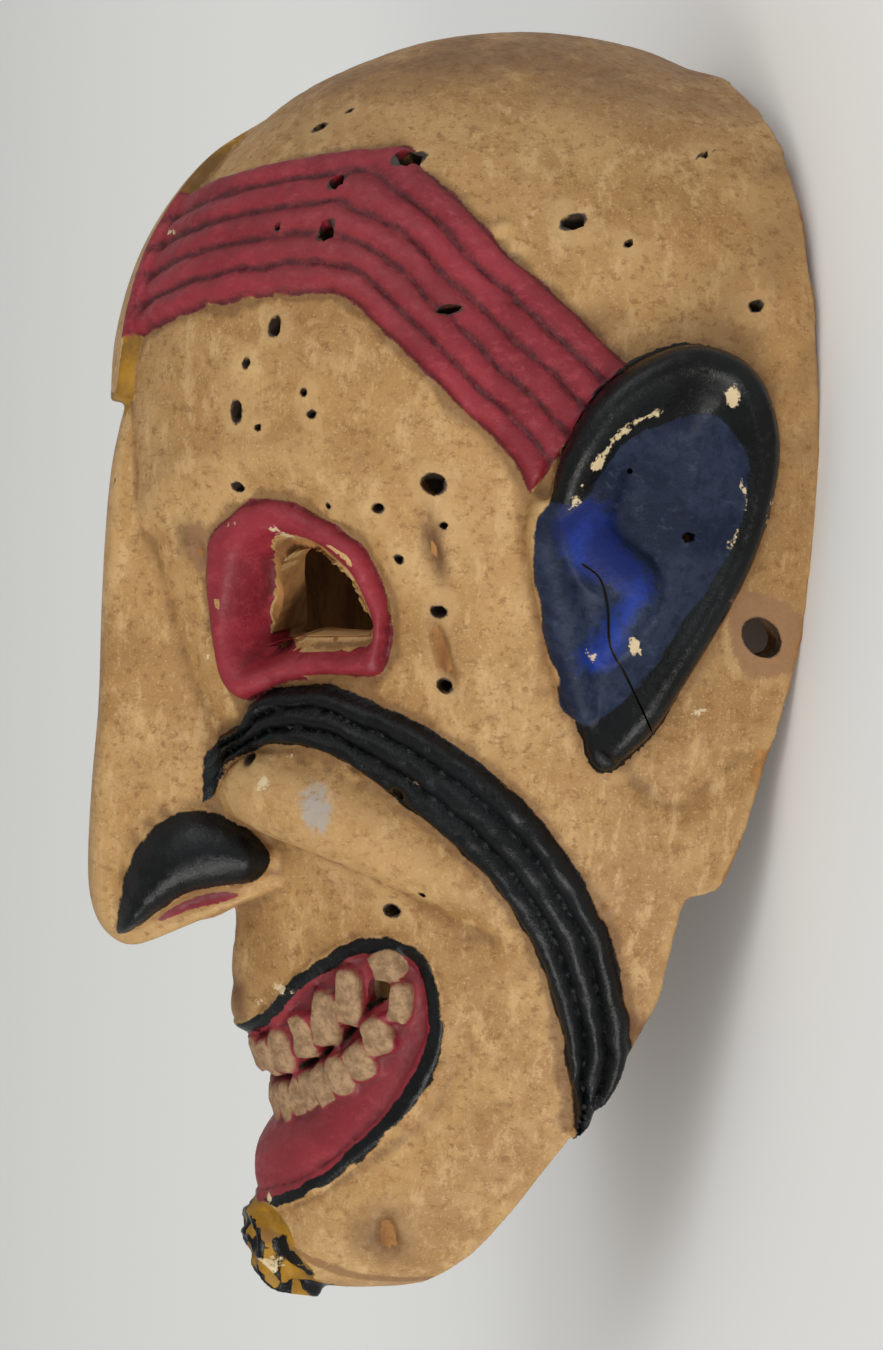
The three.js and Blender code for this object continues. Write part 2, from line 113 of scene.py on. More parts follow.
def spanDistance(g, y, a, b):
    # distance on the plan to a straight stretch and the share along it
    a, b = np.asarray(a, float), np.asarray(b, float)
    d = b - a
    t = np.clip(((g - a[0]) * d[0] + (y - a[1]) * d[1]) / max(d @ d, 1e-9), 0, 1)
    return np.hypot(g - a[0] - t * d[0], y - a[1] - t * d[1]), t


def curve(points, steps=4, joined=False):
    # a smooth curve through the points, as a finer list
    pts = [tuple(p) for p in points]
    if joined:
        pts = [pts[-1]] + pts + pts[:2]
        n = len(pts) - 3
        shares = (1 + np.arange(n * steps) / steps) / (len(pts) - 1)
    else:
        shares = np.linspace(0, 1, (len(pts) - 1) * steps + 1)
    return along(pts, shares)


def closeTo(g, y, path, reach):
    # the points that lie within reach of the box round a path
    low, high = np.min(path, 0) - reach, np.max(path, 0) + reach
    return (g > low[0]) & (g < high[0]) & (y > low[1]) & (y < high[1])


def lineField(g, y, path, joined=False, reach=16.0):
    # distance to a path and the share along it
    close = closeTo(g, y, path, reach)
    gc, yc = g[close], y[close]
    best = np.full(gc.shape, reach)
    share = np.zeros(gc.shape)
    n = len(path)
    spans = n if joined else n - 1
    for i in range(spans):
        d, t = spanDistance(gc, yc, path[i], path[(i + 1) % n])
        near = d < best
        best[near] = d[near]
        share[near] = (i + t[near]) / spans
    wholeBest, wholeShare = np.full(g.shape, reach), np.zeros(g.shape)
    wholeBest[close], wholeShare[close] = best, share
    return wholeBest, wholeShare


def areaField(g, y, outline):
    # signed distance to an outline, below zero inside
    best, _ = lineField(g, y, outline, True)
    close = closeTo(g, y, outline, 0)
    gc, yc = g[close], y[close]
    inside = np.zeros(gc.shape, bool)
    n = len(outline)
    for i in range(n):
        (ax, ay), (bx, by) = outline[i], outline[(i + 1) % n]
        if ay == by:
            continue
        inside ^= ((ay > yc) != (by > yc)) & (gc < (bx - ax) * (yc - ay) / (by - ay) + ax)
    best[close] *= np.where(inside, -1, 1)
    return best


def edgeOf(g, y, points, steps=3):
    # signed distance to a smooth outline through the points
    return areaField(g, y, curve(points, steps, True))


def awayFrom(g, y, points):
    # distance to a smooth line through the points
    return lineField(g, y, curve(points))[0]


def dome(across, down):
    far = across ** 2 + down ** 2
    return np.where(far < 1, (1 - np.minimum(far, 1)) ** 2, 0)


def bowlAt(g, y, centre, reach, depth):
    return depth * dome((g - centre[0]) / reach[0], (y - centre[1]) / reach[1])


def roundRidge(g, y, path, width, height, power):
    # a rounded ridge along a path, as a lift of the skin
    d, share = lineField(g, y, curve(path))
    half = along(width, share)[..., 0] / 2 if np.ndim(width) else width / 2
    rise = along(height, share)[..., 0] if np.ndim(height) else height
    return rise * np.maximum(1 - (d / half) ** 2, 0) ** power


noiseSize = 64
noiseTable = np.random.default_rng(7).random((noiseSize, noiseSize, noiseSize))


def noise3(points, size, offset=0.0):
    # soft value noise, 0 to 1, with lumps of about the given size
    q = points / size + offset
    i = np.floor(q).astype(int)
    f = q - i
    f = f * f * (3 - 2 * f)
    total = 0
    for dx in (0, 1):
        for dy in (0, 1):
            for dz in (0, 1):
                weight = (np.where(dx, f[..., 0], 1 - f[..., 0]) * np.where(dy, f[..., 1], 1 - f[..., 1])
                          * np.where(dz, f[..., 2], 1 - f[..., 2]))
                cell = (i + (dx, dy, dz)) % noiseSize
                total = total + weight * noiseTable[cell[..., 0], cell[..., 1], cell[..., 2]]
    return total


chartSize = {"rows": 330, "columns": 170, "wallSteps": 14, "wallStep": 1.3}


def skinChart(rows, columns, wallSteps, wallStep):
    # the plain skin of the left half, with the plan's girth and height at every grid point
    shares = np.linspace(0, 1, rows)
    points = skinGrid(shares, np.linspace(0, math.pi / 2, columns))
    backwards = np.array([0, 0, 1.0]) * (np.arange(1, wallSteps + 1) * wallStep)[None, :, None]
    back = points[:, -1:, :] - backwards
    points = np.concatenate([points, back], 1)
    steps = np.linalg.norm(np.diff(points, axis=1), axis=-1)
    girth = np.concatenate([np.zeros((rows, 1)), np.cumsum(steps, 1)], 1)
    across = np.gradient(points, axis=1)
    down = np.gradient(points, axis=0)
    normal = np.cross(down, across)
    size = np.linalg.norm(normal, axis=-1, keepdims=True)
    normal = normal / np.maximum(size, 1e-9)
    normal[0] = normal[1]
    normal[-1] = normal[-2]
    tree = KDTree(rows * points.shape[1])
    flat = KDTree(rows * points.shape[1])
    for i, (p, g) in enumerate(zip(points.reshape(-1, 3), girth.reshape(-1))):
        tree.insert(p, i)
        flat.insert((g, p[1], 0), i)
    tree.balance()
    flat.balance()
    plan = np.stack([girth, points[..., 1]], -1)
    return {"points": points, "normal": normal, "across": across, "down": down, "plan": plan,
            "planAcross": np.gradient(plan, axis=1), "planDown": np.gradient(plan, axis=0),
            "tree": tree, "flat": flat, "columns": points.shape[1]}


def solvePair(a, b, d):
    # how many grid steps along a and b make up d
    aa, bb, ab = (a * a).sum(-1), (b * b).sum(-1), (a * b).sum(-1)
    da, db = (d * a).sum(-1), (d * b).sum(-1)
    det = np.maximum(aa * bb - ab * ab, 1e-9)
    u = np.clip((da * bb - db * ab) / det, -1.5, 1.5)
    v = np.clip((db * aa - da * ab) / det, -1.5, 1.5)
    return u[:, None], v[:, None]


def planOf(chart, points):
    # girth, height, lift above the plain skin, and its outward direction, for points anywhere near it
    half = np.array(points, float)
    half[:, 0] = np.abs(half[:, 0])
    find = chart["tree"].find
    index = np.fromiter((find(p)[1] for p in half), int, len(half))
    i, j = np.divmod(index, chart["columns"])
    normal = chart["normal"][i, j].copy()
    d = half - chart["points"][i, j]
    u, v = solvePair(chart["across"][i, j], chart["down"][i, j], d)
    plan = chart["plan"][i, j] + u * chart["planAcross"][i, j] + v * chart["planDown"][i, j]
    lift = (d * normal).sum(-1)
    normal[:, 0] *= np.where(points[:, 0] < 0, -1, 1)
    return plan[:, 0], plan[:, 1], lift, normal


def placeOf(chart, spots, lift=0.0, side=1):
    # points on the carved skin at places of the plan, with their outward directions
    spots = np.asarray(spots, float).reshape(-1, 2)
    girth = np.abs(spots[:, 0])
    turn = np.where(spots[:, 0] < 0, -1, 1) * side
    find = chart["flat"].find
    index = np.array([find((g, y, 0))[1] for g, y in zip(girth, spots[:, 1])])
    i, j = np.divmod(index, chart["columns"])
    d = np.stack([girth, spots[:, 1]], -1) - chart["plan"][i, j]
    u, v = solvePair(chart["planAcross"][i, j], chart["planDown"][i, j], d)
    points = chart["points"][i, j] + u * chart["across"][i, j] + v * chart["down"][i, j]
    normal = chart["normal"][i, j].copy()
    points = points + normal * (broadRelief(girth, spots[:, 1]) + lift)[:, None]
    points[:, 0] *= turn
    normal[:, 0] *= turn
    return points, normal


mouth = {
    "upper": [(0, -82.5), (12, -79), (20, -73.5), (30, -66), (40, -61), (50, -59), (58, -62), (62, -69)],
    "lower": [(62, -69), (61.5, -77), (56.5, -86.5), (48, -96), (39, -104.5), (29, -114), (19, -121),
              (8, -125), (0, -125.8)],
    "lowerLip": [(-8, -115), (0, -114.5), (16, -111), (30, -101.5), (44, -90), (55, -77)],
    "slit": [(-6, -97), (0, -96.6), (4.4, -95.6), (9.7, -94.6), (19.4, -90.7), (28.2, -86.2), (35.6, -81.5),
             (41.4, -77.4), (45, -74)],
    "corner": [(44.2, -69.7), (47.8, -68.5), (51.5, -69.9), (49.3, -73.0), (45.5, -75.7), (42.6, -76.3),
               (43.0, -73.0)],
    "cornerMiddle": (46.5, -71.8), "recess": 2.2,
    "lipMiddle": 1.7, "lipHalf": 2.4, "lipHeight": 1.5, "slitDepth": 2.6, "slitWidth": 0.6,
    "lowerWidth": 21, "lowerHeight": [5.2, 5.4, 5.6, 5.2, 4, 2],
}
mouth["outline"] = mouth["upper"] + mouth["lower"][1:] + [(-6, -125), (-6, -83)]


wideForms = {
    # middle, reach and depth
    "eyeHollow": ((50, 16), (34, 30), 6.5), "temple": ((104, 46), (20, 34), 1.0),
    "arch": [(-20, 27), (0, 33), (16, 40), (31.1, 46.1), (50.9, 48.2), (66.4, 44.1), (76, 36), (82, 26)],
    "archRise": 1.5, "archWidth": 5,
    # girths and heights of the line below which the eye socket falls back
    "socket": ([0, 16, 31, 51, 66, 76, 84], [33, 40, 46, 48, 44, 36, 24]), "socketDepth": 0.9,
    "roll": [(21, -28), (28, -27.5), (38, -29), (50, -33.5), (64, -42), (80, -57)],
    "rollWidth": [15, 20, 22, 21, 18, 9], "rollHeight": [6, 8.5, 8.8, 8, 5, 0.4],
    "crease": [(12, -30), (17, -34), (27, -41), (39, -47.5), (55, -52.5), (74, -58)],
    "creaseDepth": 1.6, "creaseWidth": 4.5,
    "jaw": [(120, -24), (126, -28.5), (134, -25), (144, -18)], "jawDepth": 1.5, "jawWidth": 3.2,
}


def broadRelief(g, y):
    # the wide shapes of the carving, that everything else stands on
    g, y = np.broadcast_arrays(np.asarray(g, float), np.asarray(y, float))
    relief = -bowlAt(g, y, *wideForms["eyeHollow"])
    arch = awayFrom(g, y, wideForms["arch"])
    below = smoothStep(2, -9, y - np.interp(g, *wideForms["socket"]))
    relief = (relief + wideForms["archRise"] * np.exp(-(arch / wideForms["archWidth"]) ** 2)
              - wideForms["socketDepth"] * below * smoothStep(92, 72, g))
    relief = relief + roundRidge(g, y, *(wideForms[key] for key in ("roll", "rollWidth", "rollHeight")), 0.8)
    crease = awayFrom(g, y, wideForms["crease"]) / wideForms["creaseWidth"]
    relief = relief - wideForms["creaseDepth"] * np.exp(-crease ** 2)
    relief = relief - mouth["recess"] * smoothStep(1, -3, edgeOf(g, y, mouth["outline"]))
    relief = relief + roundRidge(g, y, mouth["lowerLip"], mouth["lowerWidth"], mouth["lowerHeight"], 0.9)
    jaw = awayFrom(g, y, wideForms["jaw"]) / wideForms["jawWidth"]
    relief = relief - wideForms["jawDepth"] * np.exp(-jaw ** 2)
    return relief - bowlAt(g, y, *wideForms["temple"])


# rough bodies that are joined into one block
parts = {"points": [], "faces": [], "count": 0}


def addBody(points, faces):
    parts["points"].append(np.asarray(points, float))
    parts["faces"].extend([tuple(parts["count"] + k for k in f) for f in faces])
    parts["count"] += len(points)


def loftBody(rings):
    # a closed body through rings of points, capped at both ends
    rings = np.asarray(rings, float)
    n, m = rings.shape[:2]
    points = list(rings.reshape(-1, 3))
    faces = []
    for r in range(n - 1):
        for k in range(m):
            t = (k + 1) % m
            faces.append((r * m + k, (r + 1) * m + k, (r + 1) * m + t, r * m + t))
    for r in (0, n - 1):
        points.append(rings[r].mean(0))
        faces += [(len(points) - 1, r * m + k, r * m + (k + 1) % m) for k in range(m)]
    return np.array(points), faces


# the cross section of a carved ridge: share of its half width and of its height
roundBack = [(-math.cos(t), math.sin(t) ** 0.85) for t in np.linspace(0, math.pi, 13)]


def ridgeBody(path, width, height, sunk, side, steps, profile=roundBack):
    # a ridge along a path of the plan, its underside in the wood
    line = curve(path, steps)
    share = np.linspace(0, 1, len(line))
    at, normal = placeOf(chart, line, side=side)
    across = np.cross(np.gradient(at, axis=0), normal)
    across /= np.linalg.norm(across, axis=-1, keepdims=True)
    half = along(width, share)[:, 0] / 2
    rise = along(height, share)[:, 0]
    rings = []
    for k in range(len(line)):
        ring = [at[k] + across[k] * a * half[k] + normal[k] * h * rise[k] for a, h in profile]
        ring += [at[k] + across[k] * a * half[k] * 0.85 - normal[k] * sunk for a in (1, -1)]
        rings.append(ring)
    addBody(*loftBody(rings))


def shellBody(rows, columns):
    shares = np.linspace(0, 1, rows)
    outer = skinGrid(shares, np.linspace(-math.pi / 2, math.pi / 2, columns))
    g, y, lift, normal = planOf(chart, outer.reshape(-1, 3))
    relief = broadRelief(g, y) * smoothStep(0, 0.02, np.repeat(shares, columns))
    outer = outer + (normal * relief[:, None]).reshape(outer.shape)
    scale = np.array(form["innerScale"])
    inner = skinGrid(shares, np.linspace(-math.pi / 2, math.pi / 2, form["innerColumns"])) * scale
    # adze marks inside the hollow
    marks = noise3(inner * np.array([1, 1, 0.6]), 17.0) + 0.4 * noise3(inner, 6.0)
    inner = inner * (1 + 0.016 * (marks - 0.7))[..., None]
    halfWidth, middle, halfHeight, extra = form["thickBehind"]
    thick = dome(np.abs(inner[..., 0]) / halfWidth, (inner[..., 1] - middle) / halfHeight)
    inner[..., 2] -= extra * (thick * (inner[..., 2] > form["thickAbove"]))
    rim = along(form["stations"], shares)
    below = np.maximum(form["rimFlatAbove"] - rim[:, 0], 0)
    step = smoothStep(0, form["notchFade"], form["notchHeight"] - rim[:, 0])
    curved = form["rimCurve"] * below ** 2
    back = np.minimum(curved + (rim[:, 2] - curved) * step, rim[:, 2])
    worn = 0.7 * (noise3(np.stack([rim[:, 0], rim[:, 1], 0 * back], -1), 9.0) - 0.5)

    def withEdge(sheet, size):
        left, right = sheet[:, :1].copy(), sheet[:, -1:].copy()
        for edge in (left, right):
            edge[:, 0, 2] = (back + worn) * size
        return np.concatenate([left, sheet, right], 1)

    outer, inner = withEdge(outer, 1.0), withEdge(inner, scale[2])
    a, b = outer.shape[1], inner.shape[1]
    points = np.concatenate([outer.reshape(-1, 3), inner.reshape(-1, 3)])
    start = rows * a
    faces = []
    for r in range(rows - 1):
        for c in range(a - 1):
            k = r * a + c
            faces.append((k, k + a, k + a + 1, k + 1))
        for c in range(b - 1):
            k = start + r * b + c
            faces.append((k + 1, k + b + 1, k + b, k))
        p, q = r * a, start + r * b
        faces.append((p, q, q + b, p + a))
        p, q = p + a - 1, q + b - 1
        faces.append((p + a, q + b, q, p))
    # close the crown and the chin ends
    for r in (0, rows - 1):
        outerRow = [r * a + c for c in range(a)]
        innerRow = [start + r * b + c for c in range(b)]
        faces.append(tuple(outerRow + innerRow[::-1]))
    addBody(points, faces)


nose = {
    # heights and depths of the ridge, from the forehead over the hooked tip to the lip
    "ridge": [(74, 136), (58, 140.6), (44, 143), (20, 144.6), (-6, 145.4), (-24, 146.9), (-40, 147.8),
              (-50, 147.6), (-57, 145.8), (-61.2, 142.6), (-63, 138.6), (-61.6, 133.6), (-58.6, 127),
              (-57, 119)],
    "root": [(74, 110), (-46, 102)], "ridgeHalf": (7, 9.5), "rootHalf": (16, 23), "crest": 5.5,
    # the wing in side view, depth and height
    "wing": [(142.5, -58.8), (142.0, -52.1), (140.2, -44.2), (136.4, -37.0), (130.7, -32.3), (124.9, -31.0),
             (116.9, -33.2), (110.6, -38.3), (109.0, -42.4), (111.0, -46.5), (116.2, -48.0), (121.5, -48.6),
             (127.2, -50.1), (132.9, -53.8), (137.5, -57.8), (140.9, -59.6)],
    "crescent": [(133.6, -57.0), (128.5, -52.4), (120.8, -49.8), (115.5, -50.4), (119.0, -52.2),
                 (126.6, -54.2)],
    "swell": 7.5, "swellRun": 9, "crescentDepth": 1.4, "steps": 90,
}


def noseBody():
    rings = []
    right = np.array([1.0, 0, 0])
    (topHeight, topDepth), (footHeight, footDepth) = nose["root"]
    for i in range(nose["steps"] + 1):
        share = i / nose["steps"]
        y, z = along(nose["ridge"], share)
        fall = float(smoothStep(0, 0.6, share))
        crest, foot = (a * (1 - fall) + b * fall for a, b in (nose["ridgeHalf"], nose["rootHalf"]))
        root = np.array([0, max(y, footHeight), topDepth * (1 - fall) + footDepth * fall])
        top = np.array([0, y, z])
        inward = (root - top) / np.linalg.norm(root - top)
        shoulder = top + inward * nose["crest"]
        upper = top + inward * 0.8
        middle = (shoulder * 0.55 + root * 0.45) + right * (crest * 0.45 + foot * 0.55)
        outline = [top - right * 0.01, upper + right * crest * 0.62, shoulder + right * crest, middle,
                   root + right * foot]
        side = along(outline, np.linspace(0, 1, 22))
        mirror = side[::-1] * np.array([-1, 1, 1])
        rings.append(np.concatenate([side, mirror[:-1]]))
    rings = np.array(rings)
    # the wing swells out of the side, with a hollow under it for the crescent
    z, y = rings[..., 2], rings[..., 1]
    wing = np.clip(-edgeOf(z, y, nose["wing"]) / nose["swellRun"], 0, 1)
    swell = nose["swell"] * np.sqrt(1 - (1 - wing) ** 2)
    swell = swell - nose["crescentDepth"] * smoothStep(1.5, -1.5, edgeOf(z, y, nose["crescent"]))
    rings[..., 0] += np.sign(rings[..., 0]) * swell * (np.abs(rings[..., 0]) > 2)
    addBody(*loftBody(rings))


def pebble(centre, axes, size, power, rough, seed):
    # a rounded block, a bit uneven, like a tooth cut with a knife
    def squared(t):
        return np.sign(t) * np.abs(t) ** power

    rows, columns = 14, 22
    v = np.linspace(-math.pi / 2, math.pi / 2, rows)
    u = np.linspace(0, 2 * math.pi, columns, endpoint=False)
    x = squared(np.cos(v))[:, None] * squared(np.cos(u))[None, :]
    y = squared(np.cos(v))[:, None] * squared(np.sin(u))[None, :]
    z = np.repeat(squared(np.sin(v))[:, None], columns, 1)
    local = np.stack([x, y, z], -1) * np.array(size) / 2
    bump = noise3(local, 2.6, seed) - 0.5
    local = local * (1 + rough * bump)[..., None]
    addBody(*loftBody(centre + local @ np.array(axes)))


teeth = {
    # girth, height, width, length, lean of each tooth
    "rows": [
        (2.4, -90.0, 4.4, 9.0, 0.0), (7.2, -90.4, 4.6, 9.8, 0.1), (13.0, -88.1, 6.4, 10.4, 0.12),
        (21.8, -84.1, 7.0, 10.6, 0.08), (30.5, -79.2, 7.2, 13.0, 0.0), (38.8, -73.7, 6.4, 13.2, -0.03),
        (49.9, -65.6, 8.6, 7.2, 0.3),
        (2.6, -101.0, 4.4, 9.0, 0.0), (7.6, -100.4, 4.5, 9.4, 0.05), (12.6, -99.0, 5.0, 9.8, 0.1),
        (17.8, -97.2, 5.4, 10.0, 0.15), (23.6, -94.6, 6.4, 9.8, 0.25), (30.6, -91.2, 7.2, 9.0, 0.35),
        (37.8, -87.4, 7.0, 8.4, 0.5), (44.6, -81.2, 7.2, 8.4, 0.4), (52.4, -73.7, 5.6, 9.2, -0.2)],
    # the bodies are a little larger than the measured faces, and this deep
    "widthShare": 1.02, "lengthShare": 1.06, "thick": 7.2,
}


def toothAxes(spot, lean, side):
    at, normal = placeOf(chart, [spot], side=side)
    at, normal = at[0], normal[0]
    up = np.array([0, 1.0, 0]) - normal * normal[1]
    up /= np.linalg.norm(up)
    across = np.cross(up, normal)
    turn = lean * side * (1 if spot[0] > 0 else -1)
    c, s = math.cos(turn), math.sin(turn)
    return at, np.array([c * across + s * up, c * up - s * across, normal])


def mouthBodies(side):
    for k, (g, y, width, length, lean) in enumerate(teeth["rows"]):
        at, axes = toothAxes((g, y), lean, side)
        size = (teeth["widthShare"] * width, teeth["lengthShare"] * length, teeth["thick"])
        pebble(at, axes, size, power=0.42, rough=0.34, seed=3.7 * k + side)


ear = {
    "outline": [(150, 70), (139, 66.5), (131, 59), (125, 50), (119, 38), (116, 14), (112.5, -9), (111.5, -18),
                (114, -20.5), (119, -17.5), (132, -5), (148, 15), (157, 25), (164, 37), (167, 49), (165, 60),
                (159, 67)],
    "helix": [(119, 33), (121.5, 38.5), (125.5, 46), (133, 55.8), (142, 62), (151, 64.4), (159.5, 60.5),
              (162.5, 50), (159.5, 38), (153.5, 26.5), (145, 15), (134, 2), (124, -9), (115.5, -16.5)],
    "helixWidth": [5, 8, 9.5, 10.5, 11, 11, 10.5, 10.5, 10, 9.5, 9.5, 9.5, 9.5, 7],
    "helixHeight": [4.5, 7, 9.5, 11, 11.5, 11.5, 11, 10.5, 10, 9.5, 9.5, 9.5, 8.5, 5.5],
    "fold": [(131, 43), (126, 37), (122.5, 30), (125.5, 24), (130, 20.5), (130.4, 16.5), (126, 10.5),
             (119.5, 4)],
    "foldWidth": [9, 12, 14, 14, 13.5, 13, 11, 8],
    "foldHeight": [4.2, 5.2, 5.8, 6.0, 6, 5.6, 5, 3.8],
    # the tragus, where the rim runs into the cheek
    "tragus": [(117, 37), (115, 31), (114.5, 24), (114.2, 12), (113.5, 0), (113.5, -9)],
    "tragusWidth": [7, 9, 9.5, 10, 9, 6],
    "tragusHeight": [5.0, 6.2, 6.0, 5.6, 5.2, 4.6],
    # the helix rolls over into the bowl
    "rolled": [(-1, 0), (-0.95, 0.42), (-0.78, 0.74), (-0.45, 0.95), (0, 1), (0.35, 0.94), (0.7, 0.78),
               (1.1, 0.56), (1.5, 0.4), (1.95, 0.24), (2.3, 0.1)],
}


def earBodies(side):
    outline = curve(ear["outline"], 4, True)
    low, normal = placeOf(chart, outline, side=side)
    inner = outline + (outline.mean(0) - outline) * 0.04
    addBody(*loftBody([low - normal * 4, low + normal * 2.4, placeOf(chart, inner, 3.2, side)[0]]))
    ridgeBody(ear["helix"], ear["helixWidth"], ear["helixHeight"], 3, side, 5, ear["rolled"])
    ridgeBody(ear["fold"], ear["foldWidth"], ear["foldHeight"], 2, side, 5)
    ridgeBody(ear["tragus"], ear["tragusWidth"], ear["tragusHeight"], 2, side, 4)


ornament = {
    "line": [(0, 131), (0, 120), (0, 108), (0, 93), (0, 79), (0, 64.5)],
    "width": [1, 11, 16.5, 19, 18.5, 15], "height": [0.4, 3, 3.9, 4.1, 4.1, 3.8],
    # share of the half width, then share of the height, or millimetres below the skin
    "section": [(-1, -2.5), (-1, 0), (-0.97, 0.7), (-0.86, 1), (-0.4, 1.04), (0, 1.05), (0.4, 1.04),
                (0.86, 1), (0.97, 0.7), (1, 0), (1, -2.5)],
}


def ornamentBody():
    line = curve(ornament["line"], 8)
    share = np.linspace(0, 1, len(line))
    half = along(ornament["width"], share)[:, 0] / 2
    rise = along(ornament["height"], share)[:, 0]
    at, normal = placeOf(chart, line)
    right = np.array([1.0, 0, 0])
    addBody(*loftBody([[at[k] + right * a * half[k] + normal[k] * (h * rise[k] if h > 0 else h)
                        for a, h in ornament["section"]] for k in range(len(line))]))


tuft = {
    # girth, height and size of the lumps
    "lumps": [(4, -129, 4.6), (7.5, -133, 4.4), (4, -138, 4.6)], "sunk": -2.0,
    # path, widths and heights of the carved strands
    "strands": [
        ([(0.5, -127), (5, -128), (8.5, -131), (7.5, -135), (3.5, -136.5)], [2, 3, 3.2, 3, 1.5],
         [3.4, 4.2, 4.6, 4.4, 3.4]),
        ([(0.5, -133), (3, -132), (6, -134.5), (9.5, -138), (9, -142)], [2, 3, 3, 3, 1.5],
         [3.4, 4.4, 4.4, 4.0, 2.8]),
        ([(1, -138), (4, -139.5), (4, -143), (9, -144.5), (12.5, -142)], [2, 2.8, 2.8, 2.8, 1.4],
         [3.2, 4.2, 4.0, 3.4, 2.2])],
}


def tuftBodies():
    # a small curled beard
    for side in (1, -1):
        for g, y, size in tuft["lumps"]:
            (at,), (normal,) = placeOf(chart, [(g, y)], tuft["sunk"], side)
            axes = [np.cross([0, 1, 0], normal), [0, 1, 0], normal]
            axes = [np.array(a) / np.linalg.norm(a) for a in axes]
            pebble(at, axes, (size * 1.9, size * 1.9, size * 2), 0.95, 0.1, g)
        for path, width, height in tuft["strands"]:
            ridgeBody(path, width, height, 1, side, 5)


print("skin and bodies")
chart = skinChart(**chartSize)
shellBody(*detail["grid"])
noseBody()
ornamentBody()
tuftBodies()
for side in (1, -1):
    earBodies(side)
    mouthBodies(side)


def makeObject(name, points, faces):
    mesh = bpy.data.meshes.new(name)
    mesh.from_pydata([tuple(p) for p in points], [], faces)
    mesh.update()
    made = bpy.data.objects.new(name, mesh)
    bpy.context.scene.collection.objects.link(made)
    return made


def activate(piece):
    bpy.ops.object.select_all(action="DESELECT")
    piece.select_set(True)
    bpy.context.view_layer.objects.active = piece


def applyModifier(piece, kind, **settings):
    activate(piece)
    modifier = piece.modifiers.new(kind.lower(), kind)
    for key, value in settings.items():
        setattr(modifier, key, value)
    bpy.ops.object.modifier_apply(modifier=modifier.name)


def readPoints(piece):
    flat = np.empty(len(piece.data.vertices) * 3)
    piece.data.vertices.foreach_get("co", flat)
    return flat.reshape(-1, 3)


def writePoints(piece, points):
    piece.data.vertices.foreach_set("co", np.ascontiguousarray(points, float).reshape(-1))
    piece.data.update()


def edgePairs(piece):
    flat = np.empty(len(piece.data.edges) * 2, int)
    piece.data.edges.foreach_get("vertices", flat)
    return flat.reshape(-1, 2)


def averaged(values, pairs, rounds, share=0.5):
    # each value moved towards the mean of its neighbours
    a, b = pairs.T
    count = np.maximum(np.bincount(np.concatenate([a, b]), minlength=len(values)), 1)
    values = values.copy()
    for _ in range(rounds):
        if values.ndim == 1:
            total = np.bincount(a, values[b], len(values)) + np.bincount(b, values[a], len(values))
            values += share * (total / count - values)
        else:
            for k in range(values.shape[1]):
                v = values[:, k]
                total = np.bincount(a, v[b], len(v)) + np.bincount(b, v[a], len(v))
                values[:, k] = v + share * (total / count - v)
    return values


carved = makeObject("carvedMask", np.concatenate(parts["points"]), parts["faces"])
applyModifier(carved, "REMESH", mode="VOXEL", voxel_size=detail["voxel"], adaptivity=0.0)
print("remeshed", len(carved.data.vertices))
pairs = edgePairs(carved)
points = averaged(readPoints(carved), pairs, detail["rounds"])

# the fine carving lifts or lowers the skin
browBand = {
    "top": [(6, 111), (26, 113.9), (46, 115.5), (61, 116.6), (67, 115.8), (76.8, 109), (90.7, 101.2),
            (103.2, 91.9), (114, 84.7), (126.4, 75.2), (137, 65.5)],
    "foot": [(6, 77.3), (28, 80.8), (41.3, 82.2), (60, 82.9), (69.5, 82.9), (76.6, 79.2), (86, 71.7),
             (91.8, 66.7), (99.7, 57.9), (105.7, 52.2), (111, 45.6), (113.5, 38.5)],
    "ribs": 5, "height": 2.5, "groove": 1.1,
}
cheekBand = {
    "top": [(15.0, -18.0), (17.5, -15.5), (22, -13.6), (29.1, -11.2), (34, -6.5), (40.4, -3.6), (56.2, -3.2),
            (71.3, -8.6), (79.1, -12.7), (88.8, -21.2), (95.2, -29.3), (100.1, -41.6), (103.1, -63.5),
            (103.8, -75.5), (99, -87), (92.1, -95), (83.5, -105.5)],
    "foot": [(14.2, -27.5), (17, -25.2), (20, -22.6), (24.4, -19.3), (33.9, -16.2), (43.9, -15.8),
             (55.2, -19.8), (71.4, -33.9), (79.9, -45.6), (83.7, -55.6), (86.8, -65.1), (88, -76.1),
             (85.4, -88.9), (83.4, -97), (81.5, -104.8)],
    "ribs": 3, "height": 3.3, "groove": 1.2,
}
eye = {
    "centre": (52, 17),
    "out": [(31.5, 29.7), (27.4, 20.5), (26.3, 10.7), (26.4, 1.2), (28, -3.9), (32, -6), (37, -4.8),
            (45.8, -1.9), (56.6, -1.3), (64.8, -1.1), (69.5, -0.2), (73, 4.1), (75.7, 12.7),
            (75.8, 19.7), (73.7, 26.8), (68.9, 31.4), (62.3, 35.8), (54.5, 38.1), (46.5, 37.8), (38.9, 35.2)],
    "in": [(36.2, 5.3), (39.8, 13), (46.1, 21.1), (49.5, 24.3), (54.6, 26.3), (59.5, 26), (63.7, 22.8),
           (66.9, 18.8), (67.7, 14.8), (68.5, 8.4), (51.2, 7.6), (42, 6.1)],
    "height": 4.4,
}


def bandShare(g, y, band):
    # the share across a band from its top edge to its foot, and the signed distance to its outline
    top, foot = curve(band["top"], 4), curve(band["foot"], 4)
    fromTop = lineField(g, y, top, reach=60.0)[0]
    fromFoot = lineField(g, y, foot, reach=60.0)[0]
    edge = areaField(g, y, np.concatenate([top, foot[::-1]]))
    return fromTop / np.maximum(fromTop + fromFoot, 1e-6), edge


